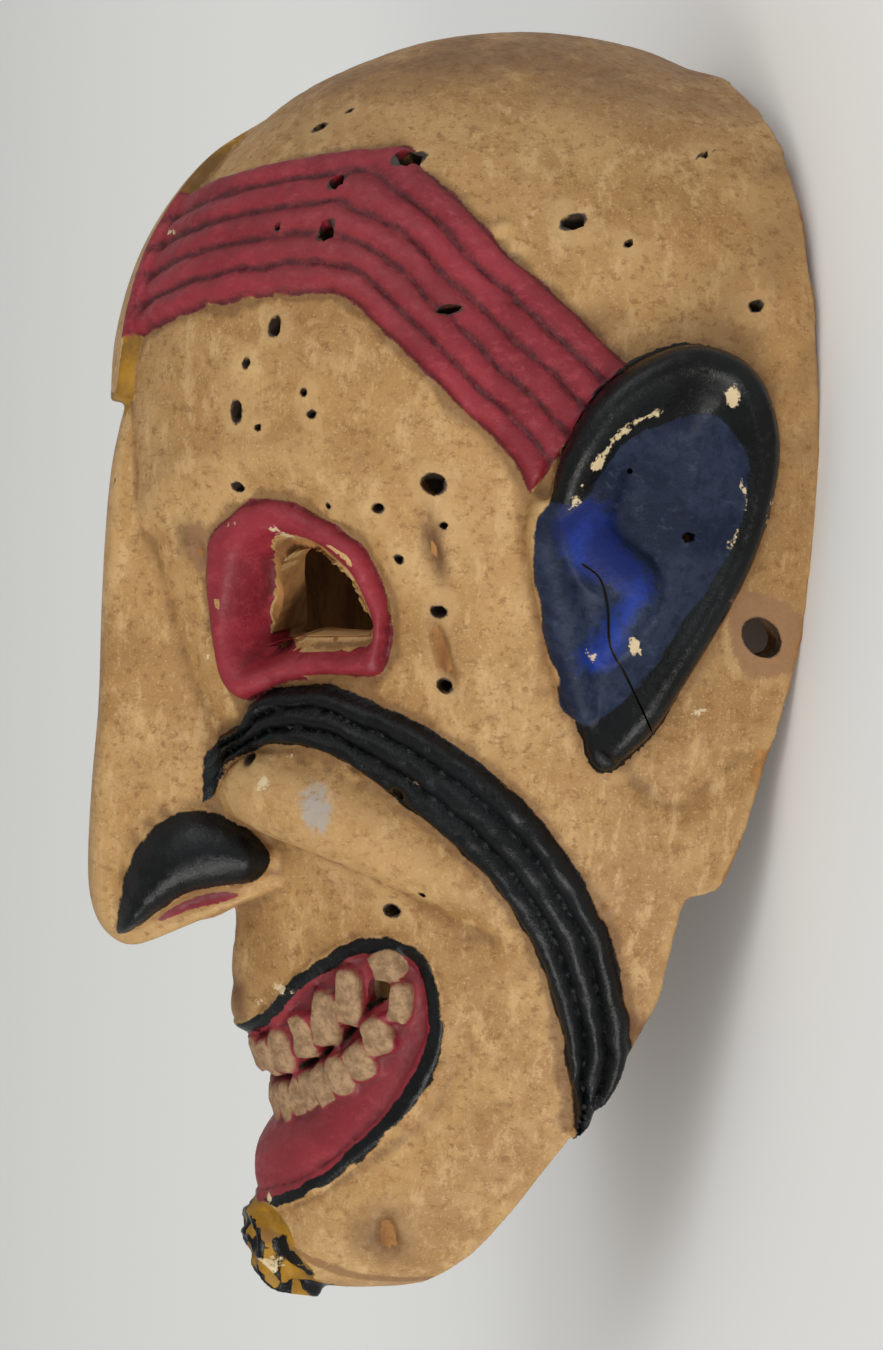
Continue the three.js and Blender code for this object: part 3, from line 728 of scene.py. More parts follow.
def ribRelief(g, y, band, depthNoise):
    share, edge = bandShare(g, y, band)
    turn = np.mod(share * band["ribs"], 1)
    floor = band["groove"] * smoothStep(0, -2.5, edge)
    back = 1 - np.abs(2 * turn - 1) ** 2.0
    relief = floor + (band["height"] - floor) * back
    return relief * smoothStep(0.15, -1.0, edge) * (0.9 + 0.25 * depthNoise)


# girth, height, reach across, reach down and depth of the worn trails, gouges and dents
gouges = [
    (89.5, 27.0, 2.6, 9.0, 1.2), (85.4, 5.0, 2.8, 10.0, 2.0), (40.3, -128.8, 3.4, 7.0, 2.2),
    (29.2, -18.7, 3.2, 2.0, 1.6), (25.7, -33.7, 2.2, 3.0, 2.2), (55.9, -20.7, 2.4, 2.2, 1.4),
    (66, -26.1, 3.0, 2.8, 1.6), (26.5, 27.5, 3.6, 4.4, 1.6), (101, 95.8, 3.4, 3.0, -1.1),
    (50, 3.2, 1.2, 0.9, 1.2), (47.7, -28, 4.4, 6.2, 0.35), (110.5, 79, 2.6, 1.2, 0.8)]


def fineRelief(g, y, at):
    wobble = noise3(at, 3.2)
    gw = g + 0.9 * (noise3(at, 5.0, 11) - 0.5)
    yw = y + 0.9 * (noise3(at, 5.0, 23) - 0.5)
    relief = ribRelief(gw, yw, browBand, wobble)
    relief = relief + ribRelief(gw, yw, cheekBand, wobble) * (0.25 + 0.75 * smoothStep(16, 23, g))
    # the point of the upper lip
    relief = relief + 2.4 * dome(g / 13, (y + 80) / 8)
    out = edgeOf(gw, yw, eye["out"])
    into = edgeOf(gw, yw, eye["in"])
    share = np.clip(-out / np.maximum(-out + np.maximum(into, 0), 1e-6), 0, 1)
    rim = np.sin(math.pi * np.clip(share / 0.78, 0, 1)) ** 0.75
    # the rim slopes into the hole, most of all beside the nose and above
    fall = 1.2 + 7.0 * smoothStep(48, 38, g) + 2.0 * smoothStep(18, 28, y) * smoothStep(66, 56, g)
    rim = eye["height"] * rim - fall * smoothStep(0.42, 1.0, share) ** 1.2
    relief = relief + rim * smoothStep(0, -1.0, out) * (into > 0)
    lip = (edgeOf(gw, yw, mouth["outline"]) + mouth["lipMiddle"]) / mouth["lipHalf"]
    lip = mouth["lipHeight"] * np.maximum(1 - lip ** 2, 0) ** 0.6 * smoothStep(-5, -1, g)
    slit = awayFrom(g, y, mouth["slit"]) / mouth["slitWidth"]
    relief = relief + lip - mouth["slitDepth"] * np.exp(-slit ** 2)
    # tool marks, dents and roughness of the plain surface
    tool = noise3(at * np.array([1, 1, 0.8]), 13.0, 5) - 0.5
    dents = np.maximum(noise3(at, 4.2, 31) - 0.78, 0) * 3.0
    relief = relief + 0.5 * tool - 0.55 * dents + 0.14 * (noise3(at, 1.7, 3) - 0.5)
    for a, b, across, down, depth in gouges:
        relief = relief - bowlAt(gw, yw, (a, b), (across, down), depth)
    return relief


g, y, lift, normal = planOf(chart, points)
over = lift - broadRelief(g, y)
onSkin = smoothStep(3.4, 1.4, over) * smoothStep(-6, -2.5, over)
flank = (smoothStep(27, 23, g) * smoothStep(-34, -30, y) * smoothStep(-8, -12, y) * smoothStep(11, 8, over)
         * smoothStep(-4, -1, over))
points = points + normal * (np.maximum(onSkin, flank) * fineRelief(g, y, points))[:, None]
writePoints(carved, points)
print("fine carving done")


# fewer triangles, then the holes
count = 2 * len(carved.data.polygons)
applyModifier(carved, "DECIMATE", decimate_type="COLLAPSE", ratio=min(1.0, detail["triangles"] / count))
print("decimated", len(carved.data.polygons))

cutters = {"points": [], "faces": [], "count": 0}
boreRng = np.random.default_rng(12)


def addCutter(rings):
    points, faces = loftBody(rings)
    cutters["points"].append(points)
    cutters["faces"].extend([tuple(cutters["count"] + k for k in f) for f in faces])
    cutters["count"] += len(points)


def addHole(g, y, across, down, depth, side=1):
    # an uneven worm hole, narrower at its bottom
    sides = 12
    jitter = 1 + 0.34 * (boreRng.random(sides) - 0.5)
    lean = (boreRng.random(2) - 0.5) * 0.5
    (at,), (n,) = placeOf(chart, [(g, y)], 0, side)
    up = np.array([0, 1.0, 0]) - n * n[1]
    up /= np.linalg.norm(up)
    right = np.cross(up, n)
    rings = []
    for reach, size in ((4.5, 1.15), (0.2, 1.0), (-0.6 * depth, 0.85), (-depth, 0.5)):
        ring = []
        for k in range(sides):
            t = k / sides * 2 * math.pi
            a, b = across * math.cos(t) * jitter[k] * size, down * math.sin(t) * jitter[k] * size
            slide = min(reach, 0) * lean
            ring.append(at + right * (a + slide[0]) + up * (b + slide[1]) + n * reach)
        rings.append(ring)
    addCutter(rings)


def addOpening(outline, centre, inside, outside, side):
    outline = curve(outline, 3, True)
    normal = placeOf(chart, [centre], 0, side)[1][0]
    low = placeOf(chart, outline, 0, side)[0]
    addCutter([low - normal * inside, low + normal * outside])


# girth, height, half width, half height, depth
wormHoles = [
    (69.7, 112.5, 2.6, 2.6, 6), (59.3, 107.1, 1.5, 2.0, 6), (63.7, 96, 1.8, 2.3, 6),
    (51.5, 97.6, 0.6, 0.8, 3), (37.9, 123.3, 1.4, 1.1, 4), (41, 126.8, 0.6, 0.6, 2),
    (97.3, 77.6, 2.7, 0.9, 3), (57.3, 76.1, 1.5, 2.4, 7), (50.9, 68.4, 1.0, 1.2, 4),
    (48.1, 57.9, 1.5, 2.6, 7), (65.6, 61.3, 0.8, 0.9, 4), (67.3, 56.5, 1.1, 0.9, 4),
    (53.9, 54.2, 0.8, 0.8, 3), (45.1, 41.5, 1.6, 1.1, 4), (3.2, 45.5, 0.6, 0.6, 3),
    (67.5, 36.6, 0.6, 0.6, 3), (79.7, 36, 1.2, 1.0, 4), (81.6, 25.1, 1.1, 1.0, 3),
    (92.7, 40.9, 2.7, 2.3, 6), (93.1, 32, 0.9, 0.7, 3), (87.1, 13.6, 1.9, 1.3, 5),
    (84.2, -2.5, 1.7, 1.6, 6), (115, 97.7, 2.5, 2.0, 6), (129.7, 92.8, 0.9, 0.9, 4),
    (123.4, 114.8, 0.9, 1.3, 4), (162.9, 79.4, 1.6, 1.4, 6), (52.2, -53.5, 2.1, 1.4, 6),
    (63.8, -47.9, 0.7, 0.7, 3), (66, -26, 1.3, 1.5, 5), (29.5, -18.9, 1.6, 0.9, 4),
    (25.7, -33.7, 1.3, 2.0, 5),
]
# the hidden side has fewer, in other places
hiddenHoles = [
    (71, 101, 2.2, 2.4, 6), (88, 60, 1.5, 1.8, 5), (50, 66, 1.2, 1.6, 5), (108, 88, 1.8, 1.6, 5),
    (120, 108, 1, 1.2, 4), (96, 26, 2, 1.7, 6), (82, -8, 1.2, 1.4, 4), (60, -50, 1.6, 1.2, 5),
    (150, 90, 1.5, 1.4, 5), (30, 100, 1.1, 1.3, 4)]
earHoles = [(144.7, 29.4, 1.25, 1.125, 3.4), (135, 43.3, 0.7, 0.63, 3.4)]
strapHole = {"middle": (156, 8), "radius": 4.3}
# how far each opening is cut inwards and outwards from the skin
openingReach = {"eye": (60, 12), "mouth": (30, 9), "strap": (30, 8)}

for hole in wormHoles:
    addHole(*hole)
for hole in hiddenHoles:
    addHole(*hole, side=-1)
for side in (1, -1):
    addOpening(eye["in"], eye["centre"], *openingReach["eye"], side)
    addOpening(mouth["corner"], mouth["cornerMiddle"], *openingReach["mouth"], side)
    (middleG, middleY), radius = strapHole["middle"], strapHole["radius"]
    strap = [(middleG + radius * math.cos(t), middleY + radius * math.sin(t))
             for t in np.arange(12) * math.pi / 6]
    addOpening(strap, strapHole["middle"], *openingReach["strap"], side)
    for hole in earHoles:
        addHole(*hole, side=side)

crack = curve([(121, 24), (123.8, 21.1), (124.0, 14.8), (122.5, 6.7), (124.2, 0.4), (125.4, -6.6),
               (126.1, -11.5)])
crackLow, crackNormal = placeOf(chart, crack, 2.6)
crackAhead = np.gradient(crackLow, axis=0)
crackAcross = np.cross(crackAhead, crackNormal)
crackAcross /= np.linalg.norm(crackAcross, axis=1, keepdims=True)
crackFoot, crackTop, crackHeight = 0.05, 0.34, 12
addCutter([[low - across * crackFoot, low + out * crackHeight - across * crackTop,
            low + out * crackHeight + across * crackTop, low + across * crackFoot]
           for low, out, across in zip(crackLow, crackNormal, crackAcross)])

cutter = makeObject("cutter", np.concatenate(cutters["points"]), cutters["faces"])
activate(cutter)
bpy.ops.object.mode_set(mode="EDIT")
bpy.ops.mesh.select_all(action="SELECT")
bpy.ops.mesh.normals_make_consistent(inside=False)
bpy.ops.object.mode_set(mode="OBJECT")
applyModifier(carved, "BOOLEAN", operation="DIFFERENCE", solver="MANIFOLD", object=cutter)
bpy.data.objects.remove(cutter)
print("holes cut", len(carved.data.polygons))
applyModifier(carved, "TRIANGULATE")

points = readPoints(carved)
pairs = edgePairs(carved)
print("triangles", len(carved.data.polygons))


# where each paint lies, as distances in millimetres, below zero inside
earBlue = [(122.9, 36.6), (126.8, 39.2), (129.6, 43.8), (137.3, 50.2), (146.7, 53.7), (152.2, 54.5),
           (156.8, 51.7), (158.4, 44.7), (156.7, 37.8), (151.8, 28.6), (145.5, 20.2), (138.1, 11.9),
           (130.4, 3.3), (125.6, -1.6), (116.7, -8.3), (112.5, -10.1), (109.8, -8.3), (108.6, -6.6),
           (110.2, -0.8), (109.4, 5.3), (110.1, 14.2), (110.6, 20.2), (112.1, 28.6), (113.1, 30.9),
           (116.9, 35.8)]
earBright = [(124.5, 33), (121.2, 26.8), (125.5, 23.5), (129.4, 21.1), (130.4, 17.6), (125, 9.3),
             (118.1, 3.3)]
worn = [[(149.5, 16), (153, 18.5), (161, 17), (167, 12), (168, 2), (160, 0), (150.5, -1), (148.5, 6)],
        [(24, 27), (27, 33), (31, 35), (31.5, 30), (28, 24), (25, 23)]]
ornamentFace = [(0, 129), (3, 125), (6, 111), (7, 95), (7.8, 84), (7.6, 75), (6, 66.5), (0, 65.5)]
tuftPatch = [(-2, -123), (9, -124.5), (15, -129), (18, -139), (14, -146), (-2, -147)]
chinLine = [(6.7, -129.3), (16.5, -134.6), (24.5, -138.4), (32.6, -141.0), (44, -141.7)]
# girth, height, reach across and reach down of dark stains, and of painted shade under the upper lip in the
# first row
stainsAndShade = [
    (3, -76, 4.5, 7), (105.3, -79.4, 6, 5), (128, 72, 9, 7), (26.5, 29, 5, 6), (90, 28, 2.6, 8),
    (86, 5, 2.6, 8), (40, -129, 9, 8), (152, 118, 20, 9)]
# the same of spots where the paint has flaked to the pale ground, and lines of chips with their half width
flakes = [
    (43, 33.4, 2.4, 0.9), (53.5, 30.6, 2.2, 1.6), (160.6, 30.5, 0.9, 1.8), (162.5, 36, 0.8, 1.2),
    (154, 15, 1.2, 0.8), (138, -8, 2.6, 1.0), (127.5, 6.5, 1.0, 1.6), (117.5, 5.5, 0.6, 2.2),
    (156.8, 58, 1.3, 1.6), (21, -72.5, 3.2, 1.0), (12, -76.5, 2.6, 0.8), (8, -122.5, 1.2, 1.2),
    (41, -18, 1.2, 0.8), (72, -24, 1.0, 0.7), (36, -22.5, 1.6, 2.2), (22, 3, 0.7, 1.0), (148, -3, 1.5, 0.6),
    (8, -137, 2.4, 1.6), (30, 100, 0.8, 0.6), (14, 101, 1.0, 0.4)]
chipLines = [([(122, 36), (125.5, 41.5), (131, 48.5), (138, 53.5), (147, 57)], 0.5),
             ([(157.5, 44), (156.5, 36), (150, 25.5)], 0.2)]

g, y, lift, normal = planOf(chart, points)
over = lift - broadRelief(g, y)
wobble = noise3(points, 2.4, 2) - 0.5
gw = g + 1.3 * (noise3(points, 4.0, 41) - 0.5) + 0.6 * wobble
yw = y + 1.3 * (noise3(points, 4.0, 53) - 0.5) - 0.6 * wobble
far = np.full(len(g), 9.0)
x, yy, zz = np.abs(points[:, 0]), points[:, 1], points[:, 2]
onNose = (over > 1.2) & (x < 34) & (yy < -26) & (yy > -66) & (zz > 104)
paints = {}


def nearSpots(g, y, spots):
    # distance to the nearest of some oval spots
    nearest = far.copy()
    for a, b, across, down in spots:
        share = np.hypot((g - a) / across, (y - b) / down)
        nearest = np.minimum(nearest, (share - 1) * min(across, down))
    return nearest


browShare, browEdge = bandShare(gw, yw, browBand)
cheekShare, cheekEdge = bandShare(gw, yw, cheekBand)
eyeOut = edgeOf(gw, yw, eye["out"])
eyeIn = edgeOf(g, y, eye["in"])
mouthEdge = edgeOf(gw, yw, mouth["outline"])
earEdge = edgeOf(gw, yw, ear["outline"], 4)

toothEdge = far.copy()
for g0, y0, width, length, lean in teeth["rows"]:
    at, axes = toothAxes((g0, y0), lean, 1)
    local = (np.stack([x, yy, zz], -1) - at) @ axes.T
    q = np.abs(local[:, :2]) / (np.array([width, length]) * 0.515)
    reach = (q[:, 0] ** 3 + q[:, 1] ** 3) ** (1 / 3)
    toothEdge = np.where(np.abs(local[:, 2]) < 7, np.minimum(toothEdge, (reach - 1.0) * width / 2), toothEdge)
toothEdge = np.maximum(toothEdge, (0.6 - over) * 1.5)
paints["tooth"] = toothEdge

# crimson runs into the eye as far as the wall that is left bare
eyeWall = -11.5 + 8.5 * smoothStep(40, 52, g)
eyeRed = np.where(lift > eyeWall, np.minimum(eyeOut, np.where(eyeIn < 2.5, -2.5, eyeOut)), far)
crimson = np.minimum(browEdge, eyeRed)
crimson = np.minimum(crimson, np.where(over > -5, mouthEdge + 1.6, far))
crescentEdge = edgeOf(zz, yy, nose["crescent"]) + 0.4 * wobble
crimson = np.where(onNose & (x > 5), crescentEdge, np.where((over > 4.6) & (mouthEdge > 0), far, crimson))
paints["crimson"] = np.where((over > -3.2) | (crimson == eyeRed), crimson, far)

lipWide = 2.4 + 1.0 * smoothStep(18, 45, g)
black = np.maximum(mouthEdge - 0.1, -(mouthEdge + lipWide))
black = np.where(over > 4.6, far, black)
black = np.minimum(black, np.where(over < 11, cheekEdge - 0.1, far))
black = np.minimum(black, np.where(over > 0.4, earEdge - 1.6, np.maximum(earEdge - 1.2, 0.3)))
wingEdge = edgeOf(zz, yy, nose["wing"]) + 0.5 * wobble
black = np.where(onNose & (yy < -30), np.where(x > 6.5, wingEdge, far), black)
tuftZone = areaField(gw, yw, tuftPatch)
strands = noise3(points, 3.4, 77)
paints["black"] = np.where(tuftZone < 0.5, np.where(over > 3.4, -1.0, (0.60 - strands) * 6),
                           np.where(over > -3, black, far))
paints["blue"] = np.where(over > -3, edgeOf(gw, yw, earBlue) - 0.4, far)
paints["bright"] = awayFrom(gw, yw, earBright) - 3.0

face = areaField(g, y, ornamentFace)
ochre = np.where((over > 0.35) & (y > 60) & (y < 133) & (g < 13), np.where(face > 0, -1.0, face * -0.8), far)
paints["ochre"] = np.minimum(np.where(y > 0, ochre, far), np.where(over > -3, tuftZone, far))

# bare wood inside, but not on the painted walls of the mouth and eye, and along the rim
wood = np.where(over < -1.2, -1.0, 2.0) + 0.8 * wobble
wood = np.where(mouthEdge < 0, np.maximum(wood, over + 5.0), wood)
wood = np.where((eyeRed < 0) & (lift > -19), far, wood)
rimLine = form["rimCurve"] * np.maximum(form["rimFlatAbove"] - yy, 0) ** 2
rimNear = np.where(yy > form["notchHeight"], np.minimum(zz - rimLine, 9), 9)
paints["wood"] = np.minimum(wood, np.where(over > -1.2, rimNear - 0.6 + 2 * wobble, far))

paints["worn"] = np.minimum(*(areaField(gw, yw, patch) for patch in worn))
chips = [awayFrom(gw, yw, path) - half for path, half in chipLines]
paints["flake"] = np.minimum(nearSpots(gw, yw, flakes), np.minimum(*chips))
# near-black along the crack: painted shade inside it
paints["crack"] = np.where(over > 1.5, lineField(g, y, crack)[0], far)
paints["grey"] = np.hypot((gw - 47.7) / 3.4, (yw + 28) / 5.2) - 1
paints["chinLine"] = awayFrom(gw, yw, chinLine) - 1.2
# dark in the worm holes, the strap hole and the mouth slit: painted shade inside, with a thin dark stain
# round the rims
holeEdge = nearSpots(g, y, [hole[:4] for hole in wormHoles])
holeEdge = np.minimum(holeEdge, np.hypot(g - strapHole["middle"][0], y - strapHole["middle"][1])
                      - strapHole["radius"])
slitEdge = awayFrom(gw, yw, mouth["slit"]) - 0.45
paints["hole"] = np.minimum(holeEdge, np.where(toothEdge > 0.2, slitEdge, far))
# dark stains, and painted shade under the upper lip
stainAndShade = 0 * g
for a, b, across, down in stainsAndShade:
    stainAndShade = np.maximum(stainAndShade, dome((gw - a) / across / 1.5, (yw - b) / down / 1.5))
paints["stainAndShade"] = stainAndShade
crownNoise = noise3(points, 21.0, 61)
# darker brown towards the crown top and along the back edge
darkening = smoothStep(112, 152, y + 26 * (crownNoise - 0.5))
darkening = darkening + smoothStep(136, 168, gw) * 0.6 * smoothStep(-60, 60, y)
paints["crownDarkening"] = np.clip(darkening, 0, 1) * smoothStep(-2, 0, over)
ribs = 0 * g
for share, inBand, band in ((browShare, browEdge, browBand), (cheekShare, cheekEdge, cheekBand)):
    ribs = np.maximum(ribs, np.where(inBand < 0, np.abs(2 * np.mod(share * band["ribs"], 1) - 1), 0))
paints["groove"] = ribs
# hollows and edges, from how far the surface bends away from its neighbours; the hollows are darkened as dirt
# and painted shade
normals = np.empty(len(points) * 3)
carved.data.vertices.foreach_get("normal", normals)
normals = normals.reshape(-1, 3)
bend = ((averaged(points, pairs, 6) - points) * normals).sum(-1)
paints["bend"] = averaged(bend, pairs, 2)
for name, values in paints.items():
    layer = carved.data.attributes.new(name, "FLOAT", "POINT")
    layer.data.foreach_set("value", np.asarray(values, np.float32))
print("paint placed")


# laid down on its rim
tilt = math.radians(form["restTilt"])
c, s = math.cos(tilt), math.sin(tilt)
alongShift, downShift = form["restShift"]
x, y, z = points.T
placed = np.stack([x, y * c - z * s + alongShift, y * s + z * c + downShift], -1) * mm
low, high = map(np.array, cadBox)
placed = np.clip(placed, low, high)
writePoints(carved, placed)
activate(carved)
bpy.ops.object.mode_set(mode="EDIT")
bpy.ops.mesh.select_all(action="SELECT")
bpy.ops.mesh.normals_make_consistent(inside=False)
bpy.ops.object.mode_set(mode="OBJECT")
bpy.ops.object.shade_smooth_by_angle(angle=math.radians(50))


# one painted and worn surface

def tone(r, g, b):
    # screen values 0 to 255 as linear light
    linear = [v / 255 / 12.92 if v < 10 else ((v / 255 + 0.055) / 1.055) ** 2.4 for v in (r, g, b)]
    return (*linear, 1.0)


paint = bpy.data.materials.new("paintedWood")
paint.use_nodes = True
tree = paint.node_tree
shader = tree.nodes["Principled BSDF"]
coords = tree.nodes.new("ShaderNodeTexCoord")


def link(source, socket):
    tree.links.new(source, socket)


def setInput(socket, value):
    if hasattr(value, "links"):
        link(value, socket)
    else:
        socket.default_value = value


def attribute(name):
    node = tree.nodes.new("ShaderNodeAttribute")
    node.attribute_name = name
    return node.outputs["Fac"]


def calc(operation, a, b=0.0, c=0.0):
    node = tree.nodes.new("ShaderNodeMath")
    node.operation = operation
    for socket, value in zip(node.inputs, (a, b, c)):
        setInput(socket, value)
    return node.outputs[0]


def noise(scale, detail, rough, stretch=(1, 1, 1), turn=(0, 0, 0)):
    mapping = tree.nodes.new("ShaderNodeMapping")
    mapping.inputs["Scale"].default_value = stretch
    mapping.inputs["Rotation"].default_value = turn
    link(coords.outputs["Object"], mapping.inputs["Vector"])
    node = tree.nodes.new("ShaderNodeTexNoise")
    node.inputs["Scale"].default_value = scale
    node.inputs["Detail"].default_value = detail
    node.inputs["Roughness"].default_value = rough
    link(mapping.outputs[0], node.inputs["Vector"])
    return node.outputs["Fac"]


def ramp(value, low, high, to0=0.0, to1=1.0):
    node = tree.nodes.new("ShaderNodeMapRange")
    node.interpolation_type = "SMOOTHSTEP"
    setInput(node.inputs["Value"], value)
    for key, v in (("From Min", low), ("From Max", high), ("To Min", to0), ("To Max", to1)):
        node.inputs[key].default_value = v
    return node.outputs["Result"]


def mixNode(kind, share, a, b):
    node = tree.nodes.new("ShaderNodeMix")
    node.data_type = kind
    for key, value in (("Factor", share), ("A", a), ("B", b)):
        setInput(node.inputs[key], value)
    return node.outputs["Result"]


def mixed(share, a, b):
    return mixNode("RGBA", share, a, b)


def mixedValue(share, a, b):
    return mixNode("FLOAT", share, a, b)


def both(a, b):
    return calc("MULTIPLY", a, b)


def mottled(pattern, low, high, first, second):
    # two tones of one paint, parted by a noise
    return mixed(ramp(pattern, low, high), tone(*first), tone(*second))


def layered(colour, layers):
    # tones laid over a colour, one after another, each with its place, its strength and its screen values
    for place, strength, shade in layers:
        colour = mixed(both(place, strength), colour, tone(*shade))
    return colour


def uneven(name, pattern, amount):
    # the distance to a painted edge, made uneven by a noise
    return calc("MULTIPLY_ADD", calc("SUBTRACT", pattern, 0.5), amount, attribute(name))


def cover(name, ragged, soft):
    # 1 inside a painted area
    return ramp(uneven(name, edgeNoise, ragged), soft, -soft)


edgeNoise = noise(900, 5, 0.7)
broad = noise(16, 5, 0.6)
middle = noise(55, 6, 0.62)
fine = noise(420, 6, 0.7)
tiny = noise(1500, 4, 0.7)
fibre = noise(170, 8, 0.75, stretch=(1.0, 0.5, 1.3), turn=(0.25, 0.1, 0.5))
scratch = noise(260, 5, 0.75, stretch=(0.18, 1.7, 1.2), turn=(0.5, 0.9, 1.1))
rawGrain = noise(60, 6, 0.6, stretch=(3.2, 0.35, 3.2))
tanMark = noise(190, 7, 0.78)
bend = attribute("bend")
# the hollows, darkened below as dirt and painted shade
hollowDirtAndShade = ramp(bend, 0.02, 0.22)
edge = ramp(bend, -0.03, -0.28)
groove = attribute("groove")

# aged tan ground, with dirt and painted shade darkening the hollows
tan = layered(mottled(broad, 0.38, 0.62, (164, 125, 75), (143, 105, 58)), [
    (ramp(middle, 0.45, 0.66), 0.6, (179, 144, 94)),
    (ramp(fibre, 0.5, 0.64), 0.55, (192, 159, 111)),
    (ramp(scratch, 0.53, 0.66), 0.62, (123, 84, 43)),
    (ramp(fine, 0.53, 0.66), 0.62, (117, 79, 39)),
    (ramp(tiny, 0.54, 0.68), 0.5, (193, 165, 118)),
    # dirt and painted shade in the hollows
    (hollowDirtAndShade, 0.6, (91, 58, 28)),
    (edge, 0.4, (186, 153, 105)),
    # darker brown towards the crown top and along the back edge
    (attribute("crownDarkening"), ramp(middle, 0.34, 0.62, 0.2, 0.9), (102, 67, 34)),
    # dark stains, and painted shade under the upper lip
    (attribute("stainAndShade"), ramp(middle, 0.3, 0.6, 0.35, 0.95), (89, 56, 28))])

# raw wood inside and where the paint is gone
raw = layered(mottled(rawGrain, 0.35, 0.65, (158, 112, 62), (116, 76, 38)), [
    (ramp(fine, 0.5, 0.75), 0.5, (84, 55, 32))])

# crimson, with painted shade darkening the grooves between the lighter rib backs, and dark pits in the
# grooves
red = layered(mottled(middle, 0.38, 0.62, (112, 17, 31), (132, 31, 43)), [
    (ramp(scratch, 0.5, 0.66), 0.5, (147, 53, 60)),
    (ramp(broad, 0.45, 0.6), 0.4, (118, 38, 40)),
    # painted shade in the grooves between the ribs
    (ramp(groove, 0.55, 1.0), ramp(fine, 0.3, 0.62), (70, 17, 24)),
    (ramp(tiny, 0.62, 0.74), ramp(groove, 0.2, 0.9, 0.25, 1.0), (35, 14, 14)),
    # dirt and painted shade in the hollows
    (hollowDirtAndShade, 0.5, (64, 12, 19))])

ink = layered(mottled(middle, 0.4, 0.62, (5, 6, 6), (14, 16, 18)), [
    (ramp(fine, 0.58, 0.7), 0.4, (40, 42, 41))])
blue = layered(mottled(middle, 0.4, 0.6, (15, 24, 46), (34, 44, 64)), [
    (ramp(fine, 0.45, 0.65), 0.6, (11, 18, 38)),
    (ramp(scratch, 0.55, 0.68), 0.35, (62, 74, 92))])
bright = mottled(middle, 0.4, 0.62, (5, 25, 86), (10, 44, 132))
yellow = mottled(middle, 0.38, 0.62, (150, 108, 10), (104, 70, 10))
ivory = layered(mottled(fine, 0.35, 0.65, (158, 127, 94), (120, 92, 64)), [
    (ramp(tiny, 0.55, 0.7), 0.6, (98, 66, 48))])

# where each layer shows, 0 to 1
chip = ramp(calc("ADD", tanMark, both(edge, 0.1)), 0.755, 0.77)
isRed = both(cover("crimson", 1.4, 0.2), ramp(chip, 0, 1, 1, 0))
isBlue = cover("blue", 1.2, 0.25)
isBlack = both(cover("black", 1.1, 0.2), ramp(chip, 0, 1, 1, 0.15))
isTooth = cover("tooth", 0.6, 0.25)
isWood = cover("wood", 1.0, 0.4)
brightEdge = calc("MULTIPLY_ADD", calc("SUBTRACT", middle, 0.5), 16.0, attribute("bright"))
brightEdge = calc("MULTIPLY_ADD", calc("SUBTRACT", fine, 0.5), 6.0, brightEdge)
isBright = both(isBlue, ramp(brightEdge, 2.6, -1.8))
chinMark = both(ramp(uneven("chinLine", fine, 2.0), 0.5, -0.4), ramp(isBlack, 0, 1, 1, 0))

colour = tan
for share, paintTone in (
        (cover("ochre", 0.9, 0.25), yellow), (isRed, red), (isBlack, ink), (isBlue, blue),
        (both(isBright, 0.9), bright), (isTooth, ivory)):
    colour = mixed(share, colour, paintTone)
colour = layered(colour, [
    (ramp(uneven("flake", tanMark, 7.0), -0.15, -0.4), 1.0, (196, 176, 140)),
    (ramp(uneven("grey", fine, 2.2), 0.2, -0.5), 0.75, (150, 148, 144)),
    (chinMark, 0.7, (112, 76, 42)),
    # painted shade inside the crack
    (ramp(uneven("crack", fine, 0.5), 0.45, 0.2), 1.0, (10, 9, 8)),
    (cover("worn", 5.0, 0.7), 0.85, (132, 96, 64))])
colour = mixed(isWood, colour, raw)
# painted shade inside the holes and along the mouth slit, with a thin dark stain round the rims
colour = mixed(ramp(uneven("hole", edgeNoise, 0.9), 0.45, -0.1), colour, tone(46, 34, 24))
link(colour, shader.inputs["Base Color"])

rough = mixedValue(isRed, ramp(fine, 0.3, 0.7, 0.5, 0.72), ramp(fine, 0.3, 0.7, 0.42, 0.66))
for share, value in (
        (isBlack, ramp(fine, 0.35, 0.65, 0.12, 0.34)), (isBlue, 0.5), (isTooth, 0.7), (isWood, 0.82)):
    rough = mixedValue(share, rough, value)
link(rough, shader.inputs["Roughness"])
link(mixedValue(calc("MAXIMUM", isBlack, isBlue), 0.36, 0.2), shader.inputs["Specular IOR Level"])

height = calc("MULTIPLY_ADD", fine, 0.6, both(middle, 0.8))
height = calc("MULTIPLY_ADD", both(tiny, ramp(groove, 0, 1, 0.25, 0.8)), 1.0, height)
height = calc("MULTIPLY_ADD", calc("MAXIMUM", isRed, calc("MAXIMUM", isBlack, isBlue)), 0.35, height)
bump = tree.nodes.new("ShaderNodeBump")
bump.inputs["Strength"].default_value = 0.6
bump.inputs["Distance"].default_value = 0.6 * mm
link(height, bump.inputs["Height"])
link(bump.outputs[0], shader.inputs["Normal"])
carved.data.materials.clear()
carved.data.materials.append(paint)
carved.data.polygons.foreach_set("material_index", np.zeros(len(carved.data.polygons), np.int32))

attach(carved, "root")
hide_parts("mask")

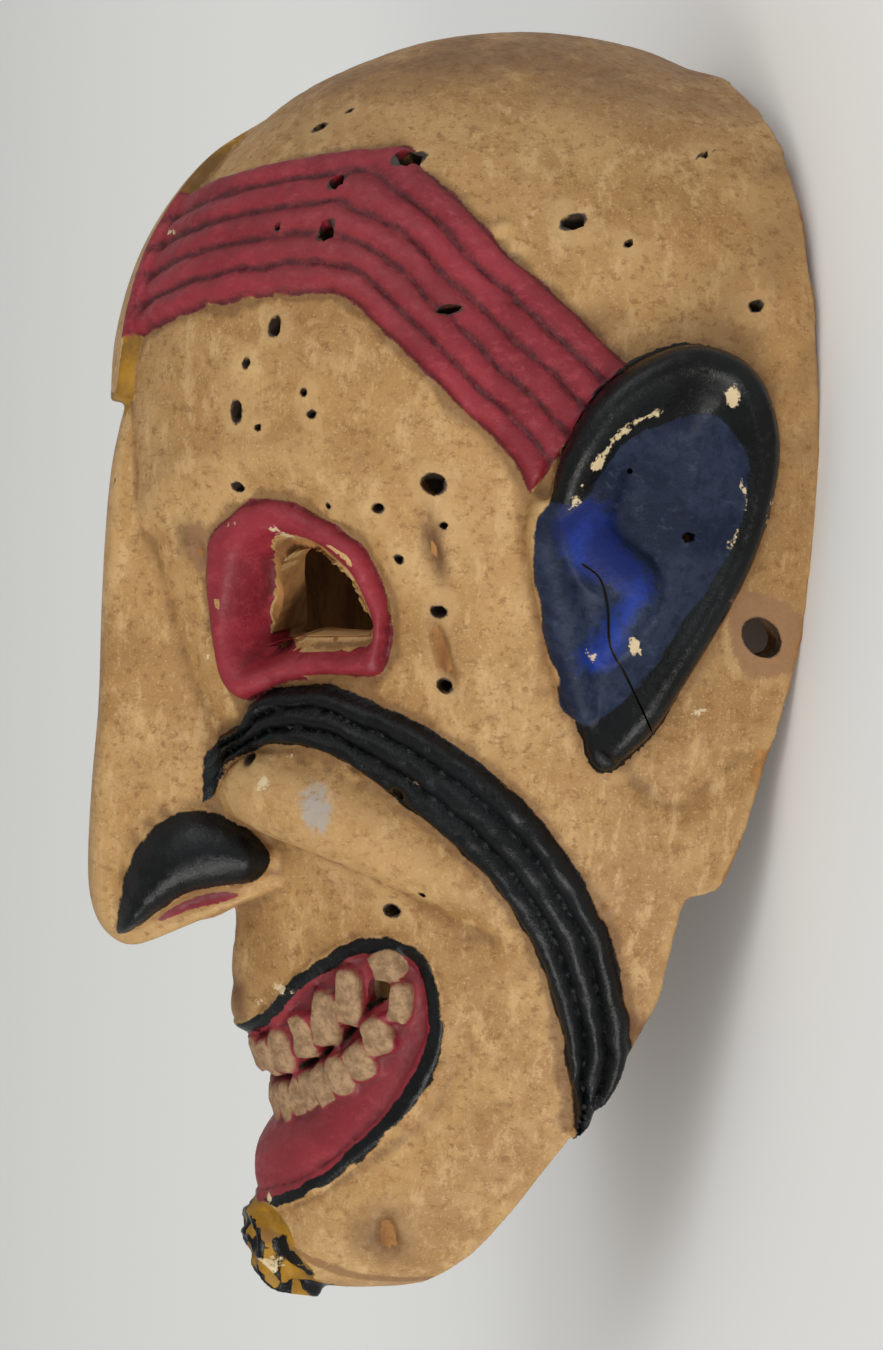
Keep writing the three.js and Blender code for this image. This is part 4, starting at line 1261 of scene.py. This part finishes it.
bpy.ops.object.select_all(action="DESELECT")
bpy.ops.mesh.primitive_plane_add(size=14, location=(0, 0, 0))
floor = bpy.context.object
floor.name = "floor"
floorPaint = bpy.data.materials.new("paleFloor")
floorPaint.use_nodes = True
floorShader = floorPaint.node_tree.nodes["Principled BSDF"]
floorShader.inputs["Base Color"].default_value = (0.88, 0.88, 0.865, 1)
floorShader.inputs["Roughness"].default_value = 0.9
floor.data.materials.append(floorPaint)

# the photo's view: degrees round from the front, place before the mask is laid down, lens and sensor
photoView = {"around": 76, "place": (615.9, 0, 216.5), "lens": 70.13, "sensor": 36}
view = math.radians(photoView["around"])
turn = Matrix.Rotation(tilt, 3, "X")
right = turn @ Vector((math.cos(view), 0, -math.sin(view)))
up = turn @ Vector((0, 1, 0))
back = turn @ Vector((math.sin(view), 0, math.cos(view)))
place = (turn @ Vector(photoView["place"]) + Vector((0, *form["restShift"]))) * mm
cameraData = bpy.data.cameras.new("camera")
cameraData.lens = photoView["lens"]
cameraData.sensor_width = photoView["sensor"]
cameraData.sensor_fit = "AUTO"
cameraData.clip_start = 0.01
camera = bpy.data.objects.new("camera", cameraData)
bpy.context.scene.collection.objects.link(camera)
camera.matrix_world = Matrix.Translation(place) @ Matrix((right, up, back)).transposed().to_4x4()
bpy.context.scene.camera = camera


def softLight(name, place, target, size, power, colour):
    data = bpy.data.lights.new(name, "AREA")
    data.shape = "DISK"
    data.size = size
    data.energy = power
    data.color = colour
    lamp = bpy.data.objects.new(name, data)
    lamp.location = place
    lamp.rotation_euler = (Vector(target) - Vector(place)).to_track_quat("-Z", "Y").to_euler()
    bpy.context.scene.collection.objects.link(lamp)


middleOfMask = (0, 0, 0.06)
softLight("window", (3.5, -3.3, 0.8), middleOfMask, 1.8, 170, (1.0, 0.985, 0.95))
softLight("fill", (2.6, 3.2, 2.6), middleOfMask, 3.0, 75, (0.98, 0.99, 1.0))
world = bpy.data.worlds.new("room")
bpy.context.scene.world = world
world.use_nodes = True
world.node_tree.nodes["Background"].inputs["Color"].default_value = (0.95, 0.95, 0.93, 1)
world.node_tree.nodes["Background"].inputs["Strength"].default_value = 0.56
bpy.context.scene.view_settings.view_transform = "Standard"

print("floor, light and camera ready")
